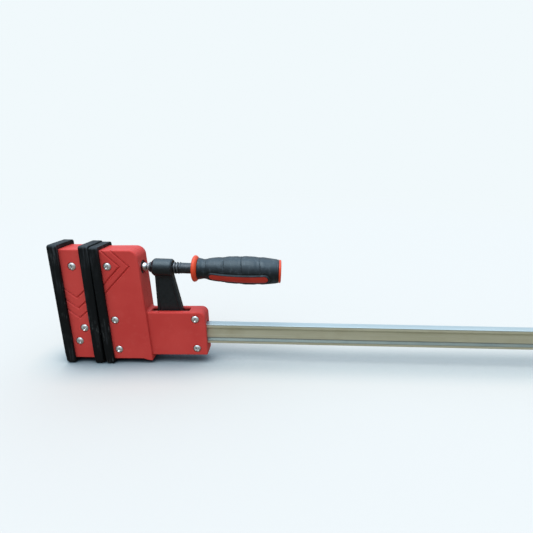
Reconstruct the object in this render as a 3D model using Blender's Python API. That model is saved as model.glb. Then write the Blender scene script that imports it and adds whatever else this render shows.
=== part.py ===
"""Parallel-jaw bar clamp, jaws closed, lying level on its jaw ends and its rail foot.

Lengths below are millimetres and are scaled to metres when a mesh is made.
Three drawing frames are used:
  clamp frame   x along the rail from near the fixed jaw's clamping face, z up from
                the surface that the clamp stands on
  head frame    the sliding head's own square frame; the head leans about its
                rail guide by HEAD_TILT, which is the play of the guide
  spindle frame p along the spindle from the centre of its ball tip, q upwards
"""
import math
import bpy
import bmesh
from mathutils import Matrix, Vector

for _o in list(bpy.data.objects):
    bpy.data.objects.remove(_o, do_unlink=True)

# ------------------------------------------------------------------ dimensions
MM = 0.001
GAP = 0.3                                  # air between touching pieces

RAIL_H, RAIL_W = 29.0, 13.0                # rail section
RAIL_Z = 29.5                              # underside of the rail
RAIL_MID = RAIL_Z + RAIL_H / 2
RAIL_LEFT, RAIL_RIGHT = -42.5, 790.0
RAIL_WEB = 4.3                             # half thickness of the web
RAIL_LIP = 4.2                             # height of each flange
RAIL_SLOPE = 3.4                           # height of the sloping fillets

JAW_HALF = 16.6                            # half width of the jaw housings
BODY_HALF = 13.1                           # half width of the head's body
PAD_HALF = 20.9                            # half width of the face pads
PAD_T = 12.0                               # length of the head's pad along the rail
FIX_PAD_T = 13.0                           # and of the fixed jaw's pads
PAD_PLATE = 4.6                            # pad thickness over the clamping face
OUTER_TOP, FACE_TOP, HEAD_TOP = 175.0, 174.2, 173.7   # tops of the three pads
WALL = 3.0
SPLIT = 0.15                               # half gap between two shells

FIX_OUT, FIX_FACE = -52.9, 1.8             # outer and clamping faces of the fixed jaw
FIX_Z0, FIX_Z1 = 7.1, 168.9                # housing bottom and top

HEAD_TILT = 0.018                          # radians, top of head towards fixed jaw
PIVOT = (70.0, 44.0)                       # x, z
HEAD_FACE = 4.55                           # clamping face, head frame
HEAD_Z0, HEAD_Z1 = 7.3, 168.9
HEAD_REAR_LO, HEAD_REAR_HI = 71.4, 66.3    # leaning rear face, bottom and top
BODY_X1 = 151.5
BODY_Z0, BODY_Z1 = 11.9, 78.65
SLOT_X0, SLOT_X1, SLOT_HALF = 72.8, 127.8, 6.0

SPINDLE_TILT = 0.0195                      # radians, handle end down
BALL = (65.8, 141.8)                       # ball centre in the clamp frame
BALL_R = 6.2
THREAD_R, SHANK_R = 8.0, 7.4
COLLAR_R = 12.3
PITCH = 4.0                                # thread pitch, drives the arm
HANDLE_ROLL = math.radians(26.8)           # inlay below the horizontal

SCREW_R, SCREW_HOLE = 2.5, 2.8
HEAD_R, CBORE_R, CBORE_DEPTH = 5.3, 5.85, 1.6

FIX_SCREWS = (("top", -25.5, 145.2), ("upper", -21.1, 54.5), ("lower", -31.0, 33.9))
JAW_SCREWS = (("top", 24.3, 146.6), ("middle", 24.3, 68.3), ("bottom", 24.3, 22.5))
BODY_SCREWS = (("body_top", 136.6, 68.0), ("body_bottom", 136.6, 22.4))

FOOT_X0, FOOT_X1, FOOT_HALF, FOOT_TOP = 772.0, 796.0, 12.0, 64.0
STOP_X = 766.0

GRIP = ((75.8, 15.2), (79.5, 14.4), (85.0, 14.0), (92.0, 15.1), (99.0, 16.4), (119.5, 18.7),
        (140.0, 19.7), (158.0, 19.4), (174.5, 18.1), (182.0, 17.0), (186.3, 16.1))
CORE_STEP = 2.6                            # rubber thickness on the grip core
INLAY_P0, INLAY_P1, INLAY_HALF = 90.0, 172.5, 6.6

X0 = -(FIX_OUT + FOOT_X1) / 2              # puts the origin under the middle

# ------------------------------------------------------------------- materials
def material(name, rgb, rough, metal=0.0):
    m = bpy.data.materials.new(name)
    m.use_nodes = True
    b = m.node_tree.nodes["Principled BSDF"]
    b.inputs["Base Color"].default_value = (*rgb, 1.0)
    b.inputs["Roughness"].default_value = rough
    b.inputs["Metallic"].default_value = metal
    m.diffuse_color = (*rgb, 1.0)
    return m


def paint(kind, name):
    """Every piece has its own copy of one of the finishes."""
    rgb, rough, metal = FINISH[kind]
    return material(name, rgb, rough, metal)


FINISH = {
    "red": ((0.52, 0.035, 0.03), 0.42, 0.0),
    "pad": ((0.012, 0.012, 0.013), 0.5, 0.0),
    "rail": ((0.55, 0.53, 0.44), 0.35, 1.0),
    "cast": ((0.10, 0.10, 0.105), 0.55, 0.8),
    "black": ((0.015, 0.016, 0.018), 0.38, 0.2),
    "oxide": ((0.03, 0.032, 0.036), 0.35, 0.85),
    "zinc": ((0.72, 0.73, 0.72), 0.25, 1.0),
    "brass": ((0.60, 0.42, 0.16), 0.35, 1.0),
    "rubber": ((0.03, 0.034, 0.04), 0.62, 0.0),
    "nylon": ((0.05, 0.055, 0.06), 0.5, 0.0),
    "orange": ((0.75, 0.09, 0.03), 0.4, 0.0),
}

# ------------------------------------------------------------------ frames
def empty(name, matrix, parent=None):
    e = bpy.data.objects.new(name, None)
    e.empty_display_size = 0.02
    bpy.context.scene.collection.objects.link(e)
    if parent is not None:
        e.parent = parent
        e.matrix_parent_inverse = WORLD[parent.name].inverted()
    e.matrix_basis = matrix
    WORLD[name] = matrix
    return e


WORLD = {}


def frame_matrix(x, z, turn):
    return Matrix.Translation(((x + X0) * MM, 0.0, z * MM)) @ Matrix.Rotation(turn, 4, "Y")


ROOT = empty("clamp_frame", frame_matrix(0, 0, 0.0))
HEAD = empty("head_slide_frame", frame_matrix(PIVOT[0], PIVOT[1], -HEAD_TILT), ROOT)
ARM = empty("arm_slide_frame", frame_matrix(BALL[0], BALL[1], SPINDLE_TILT), HEAD)
SPIN = empty("spindle_axis_frame", frame_matrix(BALL[0], BALL[1], SPINDLE_TILT), HEAD)

# where drawing coordinates (mm) land in each empty's own axes
SHIFT = {"clamp_frame": (0.0, 0.0), "head_slide_frame": PIVOT,
         "arm_slide_frame": (0.0, 0.0), "spindle_axis_frame": (0.0, 0.0)}


def to_spindle(x, z):
    """clamp frame point -> spindle frame."""
    dx, dz = x - BALL[0], z - BALL[1]
    c, s = math.cos(SPINDLE_TILT), math.sin(SPINDLE_TILT)
    return dx * c - dz * s, dx * s + dz * c


def spindle_to_head(p, q):
    """spindle frame point -> head drawing frame."""
    c, s = math.cos(SPINDLE_TILT), math.sin(SPINDLE_TILT)
    x, z = BALL[0] + p * c + q * s, BALL[1] - p * s + q * c
    dx, dz = x - PIVOT[0], z - PIVOT[1]
    c, s = math.cos(HEAD_TILT), math.sin(HEAD_TILT)
    return PIVOT[0] + dx * c + dz * s, PIVOT[1] - dx * s + dz * c

# ------------------------------------------------------------------ shape tools
def orient(bm):
    bmesh.ops.recalc_face_normals(bm, faces=bm.faces[:])
    if bm.calc_volume(signed=True) < 0:
        bmesh.ops.reverse_faces(bm, faces=bm.faces[:])
    return bm


def rounded(points, radii, seg=3):
    """Polygon with each corner rounded by its own radius."""
    out = []
    n = len(points)
    for i, (x, z) in enumerate(points):
        r = radii[i]
        a, b = Vector(points[i - 1]), Vector(points[(i + 1) % n])
        v = Vector((x, z))
        if r <= 0:
            out.append((x, z))
            continue
        da, db = (a - v).normalized(), (b - v).normalized()
        ang = da.angle(db)
        d = r / math.tan(ang / 2)
        c = v + (da + db).normalized() * (r / math.sin(ang / 2))
        s0, s1 = (v + da * d) - c, (v + db * d) - c
        sweep = s0.angle_signed(s1)
        base = math.atan2(s0.y, s0.x)
        for k in range(seg + 1):
            t = base - sweep * k / seg
            out.append((c.x + r * math.cos(t), c.y + r * math.sin(t)))
    return out


def prism(points, y0, y1):
    """Polygon in x, z pushed from y0 to y1."""
    bm = bmesh.new()
    vs = [bm.verts.new((x, y0, z)) for x, z in points]
    f = bm.faces.new(vs)
    g = bmesh.ops.extrude_face_region(bm, geom=[f])
    new = [v for v in g["geom"] if isinstance(v, bmesh.types.BMVert)]
    bmesh.ops.translate(bm, verts=new, vec=(0, y1 - y0, 0))
    return orient(bm)


def box(x0, x1, y0, y1, z0, z1):
    return prism([(x0, z0), (x1, z0), (x1, z1), (x0, z1)], y0, y1)


def bevel_where(bm, test, width, seg=2):
    es = [e for e in bm.edges if test((e.verts[0].co + e.verts[1].co) / 2, e)]
    bmesh.ops.bevel(bm, geom=es, offset=width, segments=seg, profile=0.5, affect="EDGES",
                    clamp_overlap=True)
    return orient(bm)


def lathe(profile, n=24, phase=0.0, axis="X"):
    """Closed turned solid about x through the origin; profile is (position, radius)."""
    bm = bmesh.new()
    rings = []
    for p, r in profile:
        if r <= 1e-6:
            rings.append([bm.verts.new((p, 0, 0))])
        else:
            rings.append([bm.verts.new((p, r * math.cos(phase + 2 * math.pi * k / n),
                                        r * math.sin(phase + 2 * math.pi * k / n)))
                          for k in range(n)])
    for a, b in zip(rings, rings[1:]):
        for k in range(n):
            j = (k + 1) % n
            if len(a) == 1 and len(b) == 1:
                continue
            if len(a) == 1:
                bm.faces.new((a[0], b[k], b[j]))
            elif len(b) == 1:
                bm.faces.new((a[k], a[j], b[0]))
            else:
                bm.faces.new((a[k], a[j], b[j], b[k]))
    if len(rings[0]) > 1:
        bm.faces.new(rings[0])
    if len(rings[-1]) > 1:
        bm.faces.new(rings[-1])
    if axis == "Y":
        bmesh.ops.rotate(bm, verts=bm.verts[:], cent=(0, 0, 0),
                         matrix=Matrix.Rotation(math.radians(90), 3, "Z"))
    elif axis == "Z":
        bmesh.ops.rotate(bm, verts=bm.verts[:], cent=(0, 0, 0),
                         matrix=Matrix.Rotation(math.radians(-90), 3, "Y"))
    return orient(bm)


def moved(bm, vec=(0, 0, 0), turn=None):
    if turn is not None:
        bmesh.ops.rotate(bm, verts=bm.verts[:], cent=(0, 0, 0), matrix=turn)
    bmesh.ops.translate(bm, verts=bm.verts[:], vec=vec)
    return bm


def pin(x, z, r, y0, y1, n=16):
    """Round bar across the clamp."""
    return moved(lathe([(y0, r), (y1, r)], n, math.pi / n, axis="Y"), (x, 0, z))


def bar(p0, p1, r, n=24, q=0.0):
    """Round bar along x."""
    return moved(lathe([(p0, r), (p1, r)], n, math.pi / n), (0, 0, q))


def link(bm, name):
    me = bpy.data.meshes.new(name)
    bm.to_mesh(me)
    bm.free()
    ob = bpy.data.objects.new(name, me)
    bpy.context.scene.collection.objects.link(ob)
    return ob


def combine(base, parts, operation):
    """Boolean of bmeshes, one at a time, returned as a new bmesh."""
    ob = link(base, "work")
    for i, part in enumerate(parts):
        tool = link(part, "tool%d" % i)
        tool.hide_render = True
        tool.display_type = "WIRE"
        m = ob.modifiers.new("b", "BOOLEAN")
        m.solver = "EXACT"
        m.operation = operation
        m.object = tool
        dg = bpy.context.evaluated_depsgraph_get()
        me = bpy.data.meshes.new_from_object(ob.evaluated_get(dg))
        ob.modifiers.clear()
        old = ob.data
        ob.data = me
        bpy.data.meshes.remove(old)
        tm = tool.data
        bpy.data.objects.remove(tool, do_unlink=True)
        bpy.data.meshes.remove(tm)
    bm = bmesh.new()
    bm.from_mesh(ob.data)
    me = ob.data
    bpy.data.objects.remove(ob, do_unlink=True)
    bpy.data.meshes.remove(me)
    bmesh.ops.remove_doubles(bm, verts=bm.verts[:], dist=1e-4)
    bmesh.ops.dissolve_limit(bm, angle_limit=math.radians(0.05), use_dissolve_boundaries=False,
                             verts=bm.verts[:], edges=bm.edges[:], delimit=set())
    return bm


def join(base, *parts):
    return combine(base, parts, "UNION")


def cut(base, *parts):
    return combine(base, parts, "DIFFERENCE")


def common(base, *parts):
    return combine(base, parts, "INTERSECT")


def node(name, bm, kind, frame, smooth=35.0):
    """Make a named piece in its frame, scaled to metres."""
    sx, sz = SHIFT[frame.name]
    bmesh.ops.translate(bm, verts=bm.verts[:], vec=(-sx, 0, -sz))
    bmesh.ops.scale(bm, verts=bm.verts[:], vec=(MM, MM, MM))
    for f in bm.faces:
        f.smooth = True
    ob = link(bm, name)
    ob.data.name = name
    ob.data.materials.append(paint(kind, name))
    ob.data.set_sharp_from_angle(angle=math.radians(smooth))
    ob.parent = frame
    return ob

# ------------------------------------------------------------------ rail
def rail_section():
    h, w, t = RAIL_H / 2, RAIL_W / 2, RAIL_WEB
    a, b = h - RAIL_LIP, h - RAIL_LIP - RAIL_SLOPE
    e = 0.8
    half = [(w - e, -h), (w, -h + e), (w, -a), (t, -b), (t, b), (w, a), (w, h - e), (w - e, h)]
    return half + [(-y, z) for y, z in reversed(half)]


def make_rail():
    bm = bmesh.new()
    vs = [bm.verts.new((RAIL_LEFT, y, RAIL_MID + z)) for y, z in rail_section()]
    f = bm.faces.new(vs)
    g = bmesh.ops.extrude_face_region(bm, geom=[f])
    new = [v for v in g["geom"] if isinstance(v, bmesh.types.BMVert)]
    bmesh.ops.translate(bm, verts=new, vec=(RAIL_RIGHT - RAIL_LEFT, 0, 0))
    orient(bm)
    holes = [pin(x, z, SCREW_HOLE, -10, 10, 12) for _, x, z in FIX_SCREWS[1:]]
    holes += [pin(STOP_X, RAIL_MID, 2.8, -10, 10, 12), pin(783.0, RAIL_MID, 2.3, -10, 10, 12)]
    return node("rail", cut(bm, *holes), "rail", ROOT)

# ------------------------------------------------------------------ screws
def screw_mesh():
    """Domed pan-head screw; its seat is at y = 0 and its shank runs to +y."""
    prof = [(-2.7, 0.0), (-2.55, 1.9), (-1.95, 3.85), (-1.0, 5.0), (0.0, HEAD_R),
            (0.0, SCREW_R), (11.0, SCREW_R), (11.5, 2.0)]
    return lathe(prof, 12, math.pi / 12, axis="Y")


def screws(prefix, places, half_width, frame):
    """One screw from each side at every place; all share one mesh per side."""
    for side, sgn in (("front", -1), ("back", 1)):
        for label, x, z in places:
            bm = screw_mesh()
            if sgn > 0:
                moved(bm, turn=Matrix.Rotation(math.pi, 3, "Z"))
            y = sgn * (half_width - CBORE_DEPTH + GAP)
            moved(bm, (x, y, z))
            node("%s_%s_%s" % (prefix, side, label), bm, "zinc", frame)


def screw_bores(places, half_width, sgn, depth=20.0):
    out = []
    for _, x, z in places:
        out.append(pin(x, z, SCREW_HOLE, sgn * (half_width + 2), -sgn * 1.0, 12))
        out.append(pin(x, z, CBORE_R, sgn * (half_width + 2), sgn * (half_width - CBORE_DEPTH), 16))
    return out

# ------------------------------------------------------------------ pads
def pad(x_face, x_back, z0, z1, house, direction, window):
    """Tray that wraps the jaw's face, sides, top and bottom."""
    lo, hi = min(x_face, x_back), max(x_face, x_back)
    bm = box(lo, hi, -PAD_HALF, PAD_HALF, z0, z1)
    bevel_where(bm, lambda c, e: abs(c.x - x_face) < 0.01 or
                (abs(abs(c.y) - PAD_HALF) < 0.01 and abs(c.x - x_back) > 0.01), 1.4, 2)
    inner = JAW_HALF + GAP
    zi0, zi1 = house[0] - GAP, house[1] + GAP
    if direction > 0:                      # opens towards +x
        pocket = box(x_face + PAD_PLATE, hi + 5, -inner, inner, zi0, zi1)
    else:
        pocket = box(lo - 5, x_face - PAD_PLATE, -inner, inner, zi0, zi1)
    tools = [pocket]
    if window is not None:
        w, a, b = window
        tools.append(box(lo - 5, hi + 5, -w, w, a, b))
    return cut(bm, *tools)

# ------------------------------------------------------------------ fixed jaw
def make_fixed_jaw():
    # the outer pad faces -x and opens towards +x; the clamping pad is the other way round
    node("outer_pad", pad(FIX_OUT, FIX_OUT + FIX_PAD_T, 0, OUTER_TOP, (FIX_Z0, FIX_Z1), 1, None), "pad", ROOT)
    node("fixed_face_pad",
         pad(FIX_FACE, FIX_FACE - FIX_PAD_T, 0, FACE_TOP, (FIX_Z0, FIX_Z1), -1,
             (7.1, RAIL_Z - 0.6, RAIL_Z + RAIL_H + 0.6)), "pad", ROOT)
    xa, xb = FIX_OUT + PAD_PLATE + GAP, FIX_FACE - PAD_PLATE - GAP
    for side, sgn in (("front", -1), ("back", 1)):
        y_in, y_out = sgn * SPLIT, sgn * JAW_HALF
        bm = prism([(xa, FIX_Z0), (xb, FIX_Z0), (xb, FIX_Z1), (xa, FIX_Z1)], y_in, y_out)
        bevel_where(bm, lambda c, e: abs(c.y - y_out) < 0.01, 1.2, 2)
        cav = box(xa + WALL, xb - WALL, sgn * (JAW_HALF - WALL), -sgn * 2, FIX_Z0 + WALL, FIX_Z1 - WALL)
        _, sx, sz = FIX_SCREWS[0]
        cav = cut(cav, pin(sx, sz, 7.0, sgn * (JAW_HALF + 1), sgn * 5.3, 16))
        bm = cut(bm, cav,
                 box(xb - WALL - 2, xb + 3, sgn * 7.1, -sgn * 2, RAIL_Z - 0.5, RAIL_Z + RAIL_H + 0.5),
                 *screw_bores(FIX_SCREWS, JAW_HALF, sgn))
        node("fixed_shell_" + side, bm, "red", ROOT)
    # casting inside: a web up the jaw with a socket block for the rail's end
    core = box(xa + WALL + 0.6, xb - WALL - 0.6, -5, 5, 12.0, 161.0)
    block = box(xa + WALL + 0.5, xb - WALL - 0.5, -12.0, 12.0, 22.0, 67.0)
    core = join(core, block)
    tools = [box(-60, 10, -RAIL_W / 2 - GAP, RAIL_W / 2 + GAP, RAIL_Z - GAP, RAIL_Z + RAIL_H + GAP)]
    tools += [pin(x, z, SCREW_HOLE, -20, 20, 12) for _, x, z in FIX_SCREWS]
    tools += [box(-40, -30, -20, 20, 84, 134), ]
    node("fixed_jaw_casting", cut(core, *tools), "cast", ROOT)
    screws("fixed_screw", FIX_SCREWS, JAW_HALF, ROOT)

# ------------------------------------------------------------------ rail end
def make_rail_end():
    bm = box(FOOT_X0, FOOT_X1, -FOOT_HALF, FOOT_HALF, 0.0, FOOT_TOP)
    bevel_where(bm, lambda c, e: abs(abs(c.y) - FOOT_HALF) < 0.01 or c.x > FOOT_X1 - 0.01, 1.6, 2)
    w = RAIL_W / 2 + GAP
    arch = prism(rounded([(FOOT_X0 + 5, -3), (FOOT_X1 - 5, -3), (FOOT_X1 - 5, 18), (FOOT_X0 + 5, 18)],
                         [0, 0, 5, 5], 3), -20, 20)
    bm = cut(bm, box(FOOT_X0 - 3, RAIL_RIGHT + GAP, -w, w, RAIL_Z - GAP, RAIL_Z + RAIL_H + GAP),
             arch, pin(783.0, RAIL_MID, 2.3, -20, 20, 12),
             pin(783.0, RAIL_MID, 4.6, -20, -FOOT_HALF + 1.4, 16))
    node("rail_foot", bm, "black", ROOT)
    prof = [(-2.0, 0.0), (-1.8, 2.0), (-0.9, 3.6), (0.0, 4.1), (0.0, 2.0), (17.0, 2.0), (17.6, 1.4)]
    s = moved(lathe(prof, 12, math.pi / 12, axis="Y"), (783.0, -FOOT_HALF + 1.4 - GAP, RAIL_MID))
    node("foot_screw", s, "zinc", ROOT)
    prof = [(-10.0, 2.0), (-9.4, 2.5), (9.4, 2.5), (10.0, 2.0)]
    node("stop_pin", moved(lathe(prof, 12, math.pi / 12, axis="Y"), (STOP_X, 0, RAIL_MID)), "oxide", ROOT)

# ------------------------------------------------------------------ sliding head
WIN_Z0, WIN_Z1, WIN_HALF = 27.4, 60.6, 7.1
SEAT_TURN = Matrix.Rotation(HEAD_TILT + SPINDLE_TILT, 3, "Y")   # spindle axis in the head frame


def rear_x(z):
    """Rear face of the sliding jaw at a height."""
    t = (z - HEAD_Z0) / (HEAD_Z1 - HEAD_Z0)
    return HEAD_REAR_LO + (HEAD_REAR_HI - HEAD_REAR_LO) * t


def jaw_outline():
    xa = HEAD_FACE + PAD_PLATE + GAP
    pts = [(xa, HEAD_Z0), (57.5, HEAD_Z0), (66.0, 4.6), (HEAD_REAR_LO + 0.1, 4.6),
           (HEAD_REAR_HI, HEAD_Z1), (xa, HEAD_Z1)]
    return rounded(pts, [0.0, 6.0, 3.0, 1.0, 12.0, 0.0], 4)


def body_outline():
    pts = [(50.0, BODY_Z0), (BODY_X1, BODY_Z0), (BODY_X1 - 0.6, BODY_Z1), (50.0, BODY_Z1)]
    return rounded(pts, [0, 2.2, 9.0, 0], 4)


def make_head():
    p = pad(HEAD_FACE, HEAD_FACE + PAD_T, 1.3, HEAD_TOP, (HEAD_Z0, HEAD_Z1), 1, (7.1, WIN_Z0, WIN_Z1))
    node("head_face_pad", p, "pad", HEAD)
    xa = HEAD_FACE + PAD_PLATE + GAP
    for side, sgn in (("front", -1), ("back", 1)):
        y_in = sgn * SPLIT
        jaw = prism(jaw_outline(), -sgn * 1.0, sgn * JAW_HALF)
        bevel_where(jaw, lambda c, e: abs(c.y - sgn * JAW_HALF) < 0.01, 1.3, 2)
        body = prism(body_outline(), -sgn * 1.6, sgn * BODY_HALF)
        bevel_where(body, lambda c, e: abs(c.y - sgn * BODY_HALF) < 0.01, 1.3, 2)
        bm = cut(join(jaw, body), box(-20, 180, -sgn * 4, y_in, -10, 190))
        # hollow of the jaw, following its leaning rear wall, with a boss round the top screw
        hollow = prism([(xa + WALL, HEAD_Z0 + WALL), (rear_x(10) - WALL - 0.4, HEAD_Z0 + WALL),
                        (rear_x(157) - WALL - 0.4, 157.0), (rear_x(157) - WALL - 8.4, HEAD_Z1 - WALL),
                        (xa + WALL, HEAD_Z1 - WALL)],
                       sgn * (JAW_HALF - WALL), -sgn * 2)
        _, sx, sz = JAW_SCREWS[0]
        hollow = cut(hollow, pin(sx, sz, 7.0, sgn * (JAW_HALF + 1), sgn * 5.3, 16))
        hollow2 = prism([(52.0, BODY_Z0 + WALL), (BODY_X1 - WALL - 0.3, BODY_Z0 + WALL),
                         (BODY_X1 - WALL - 0.6, 70.0), (142.0, BODY_Z1 - WALL), (52.0, BODY_Z1 - WALL)],
                        sgn * (BODY_HALF - WALL + 0.3), -sgn * 2)
        slot = prism([(SLOT_X0, BODY_Z1 - 6), (SLOT_X1, BODY_Z1 - 6), (SLOT_X1, BODY_Z1 + 3),
                      (SLOT_X0, BODY_Z1 + 3)], sgn * SLOT_HALF, -sgn * 2)
        bm = cut(bm, hollow, hollow2, slot,
                 box(xa - 3, BODY_X1 + 5, sgn * WIN_HALF, -sgn * 2, WIN_Z0, WIN_Z1))
        # round recess for the ball tip in the jaw's rear
        recess = lathe([(-16.0, 10.2), (14.0, 10.2)], 24, math.pi / 24)
        moved(recess, turn=SEAT_TURN)
        bx, bz = spindle_to_head(0.0, 0.0)
        moved(recess, (bx, 0, bz))
        bm = cut(bm, recess, *screw_bores(JAW_SCREWS, JAW_HALF, sgn),
                 *screw_bores(BODY_SCREWS, BODY_HALF, sgn))
        node("head_shell_" + side, bm, "red", HEAD)

    # casting: front guide and web in the jaw, two bars, rear guide block
    web = box(xa + WALL + 0.5, 49.0, -5, 5, 14.0, 160.0)
    front = box(xa + WALL + 0.5, 37.0, -10.1, 10.1, 14.5, 73.5)
    boss = box(35.0, 61.5, -11.9, 11.9, 128.0, 157.0)
    bars = [box(30.0, 134.0, s * 6.4, s * 10.1, 63.8, 72.5) for s in (-1, 1)]
    rear = box(130.5, 143.4, -10.1, 10.1, 63.0, 73.5)
    rear_lo = box(130.5, 142.5, -10.1, 10.1, 16.0, 64.0)
    core = join(web, front, boss, bars[0], bars[1], rear, rear_lo)
    bx, bz = spindle_to_head(0.0, 0.0)
    seat_bore = moved(lathe([(-13.6, 9.9), (14.0, 9.9)], 24, math.pi / 24), turn=SEAT_TURN)
    clip_bore = moved(lathe([(-24.0, 7.6), (-12.0, 7.6)], 24, math.pi / 24), turn=SEAT_TURN)
    moved(seat_bore, (bx, 0, bz))
    moved(clip_bore, (bx, 0, bz))
    tools = [box(-10, 170, -WIN_HALF, WIN_HALF, WIN_Z0, WIN_Z1), seat_bore, clip_bore]
    tools += [pin(x, z, SCREW_HOLE, -20, 20, 12) for _, x, z in JAW_SCREWS + BODY_SCREWS]
    tools += [box(20.0, 40.0, -20, 20, 84.0, 120.0)]
    node("head_casting", cut(core, *tools), "cast", HEAD)
    screws("jaw_screw", JAW_SCREWS, JAW_HALF, HEAD)
    screws("body_screw", BODY_SCREWS, BODY_HALF, HEAD)

    # hardened seat that takes the thrust of the ball, bored for the tip's stem
    cup = BALL_R + 0.4
    ball = lathe([(cup * math.cos(math.pi * (1 - k / 8)), cup * math.sin(math.pi * k / 8))
                  for k in range(9)], 24, math.pi / 24)
    seat = lathe([(-13.3, 9.6), (-2.6, 9.6)], 24, math.pi / 24)
    seat = cut(seat, ball, bar(-20, 0, 3.9, 16))
    moved(seat, turn=SEAT_TURN)
    node("thrust_seat", moved(seat, (bx, 0, bz)), "oxide", HEAD)

# ------------------------------------------------------------------ arm
def make_arm():
    """Cast lever: threaded collar, tapering stem, and a loop that grips the rail."""
    a = to_spindle(81.4, 131.0)
    b = to_spindle(80.4, 19.5)
    c = to_spindle(118.5, 19.5)
    d = to_spindle(117.4, 76.0)
    e = to_spindle(106.0, 131.0)
    stem = prism([a, to_spindle(81.4, 60.0), to_spindle(117.4, 60.0), d, e], -5.0, 5.0)
    bevel_where(stem, lambda m, ed: abs(abs(m.y) - 5.0) < 0.01 and m.z > to_spindle(90, 66)[1], 0.8, 1)
    rim = [to_spindle(85.6, 127.0), to_spindle(85.6, 82.0), to_spindle(111.3, 82.0),
           to_spindle(102.3, 127.0)]
    stem = cut(stem, prism(rim, -9, -3.9), prism(rim, 3.9, 9))
    loop = prism([b, c, to_spindle(118.5, 62.6), to_spindle(80.3, 62.6)], -9.6, 9.6)
    collar = lathe([(12.0, 9.0), (15.4, 11.9), (16.6, COLLAR_R), (37.8, COLLAR_R), (39.4, 11.8),
                    (40.8, 11.0)], 24, math.pi / 24)
    body = join(stem, loop, collar)
    window = prism([to_spindle(70, RAIL_Z - 1.2), to_spindle(130, RAIL_Z - 1.2),
                    to_spindle(130, RAIL_Z + RAIL_H + 1.0), to_spindle(70, RAIL_Z + RAIL_H + 1.0)],
                   -RAIL_W / 2 - 0.5, RAIL_W / 2 + 0.5)
    # the bush drops in from the handle side, down to a step at the ball side
    body = cut(body, window, bar(5, 50, 8.6, 24), bar(15.6, 50, 10.3, 24))
    node("arm_lever", body, "black", ARM)
    bush = cut(bar(15.9, 40.5, 10.0, 24), bar(0, 60, 8.4, 24))
    node("thread_bush", bush, "brass", ARM)

# ------------------------------------------------------------------ spindle
def grip_radius(p, step=0.0):
    pts = GRIP
    if p <= pts[0][0]:
        return pts[0][1] - step
    for (a, ra), (b, rb) in zip(pts, pts[1:]):
        if p <= b:
            return ra + (rb - ra) * (p - a) / (b - a) - step
    return pts[-1][1] - step


def capsule(length_a, length_b, half, sgn, grow=0.0, seg=6):
    """Rounded strip, drawn in x, y, pushed outwards along z on one side."""
    pts = []
    r = half + grow
    for k in range(seg + 1):
        t = math.pi / 2 + math.pi * k / seg
        pts.append((length_a + half + r * math.cos(t), r * math.sin(t)))
    for k in range(seg + 1):
        t = -math.pi / 2 + math.pi * k / seg
        pts.append((length_b - half + r * math.cos(t), r * math.sin(t)))
    bm = bmesh.new()
    vs = [bm.verts.new((x, y, 5.0)) for x, y in pts]
    f = bm.faces.new(vs)
    g = bmesh.ops.extrude_face_region(bm, geom=[f])
    new = [v for v in g["geom"] if isinstance(v, bmesh.types.BMVert)]
    bmesh.ops.translate(bm, verts=new, vec=(0, 0, 22.0))
    if sgn < 0:
        bmesh.ops.rotate(bm, verts=bm.verts[:], cent=(0, 0, 0), matrix=Matrix.Rotation(math.pi, 3, "X"))
    return orient(bm)


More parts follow.
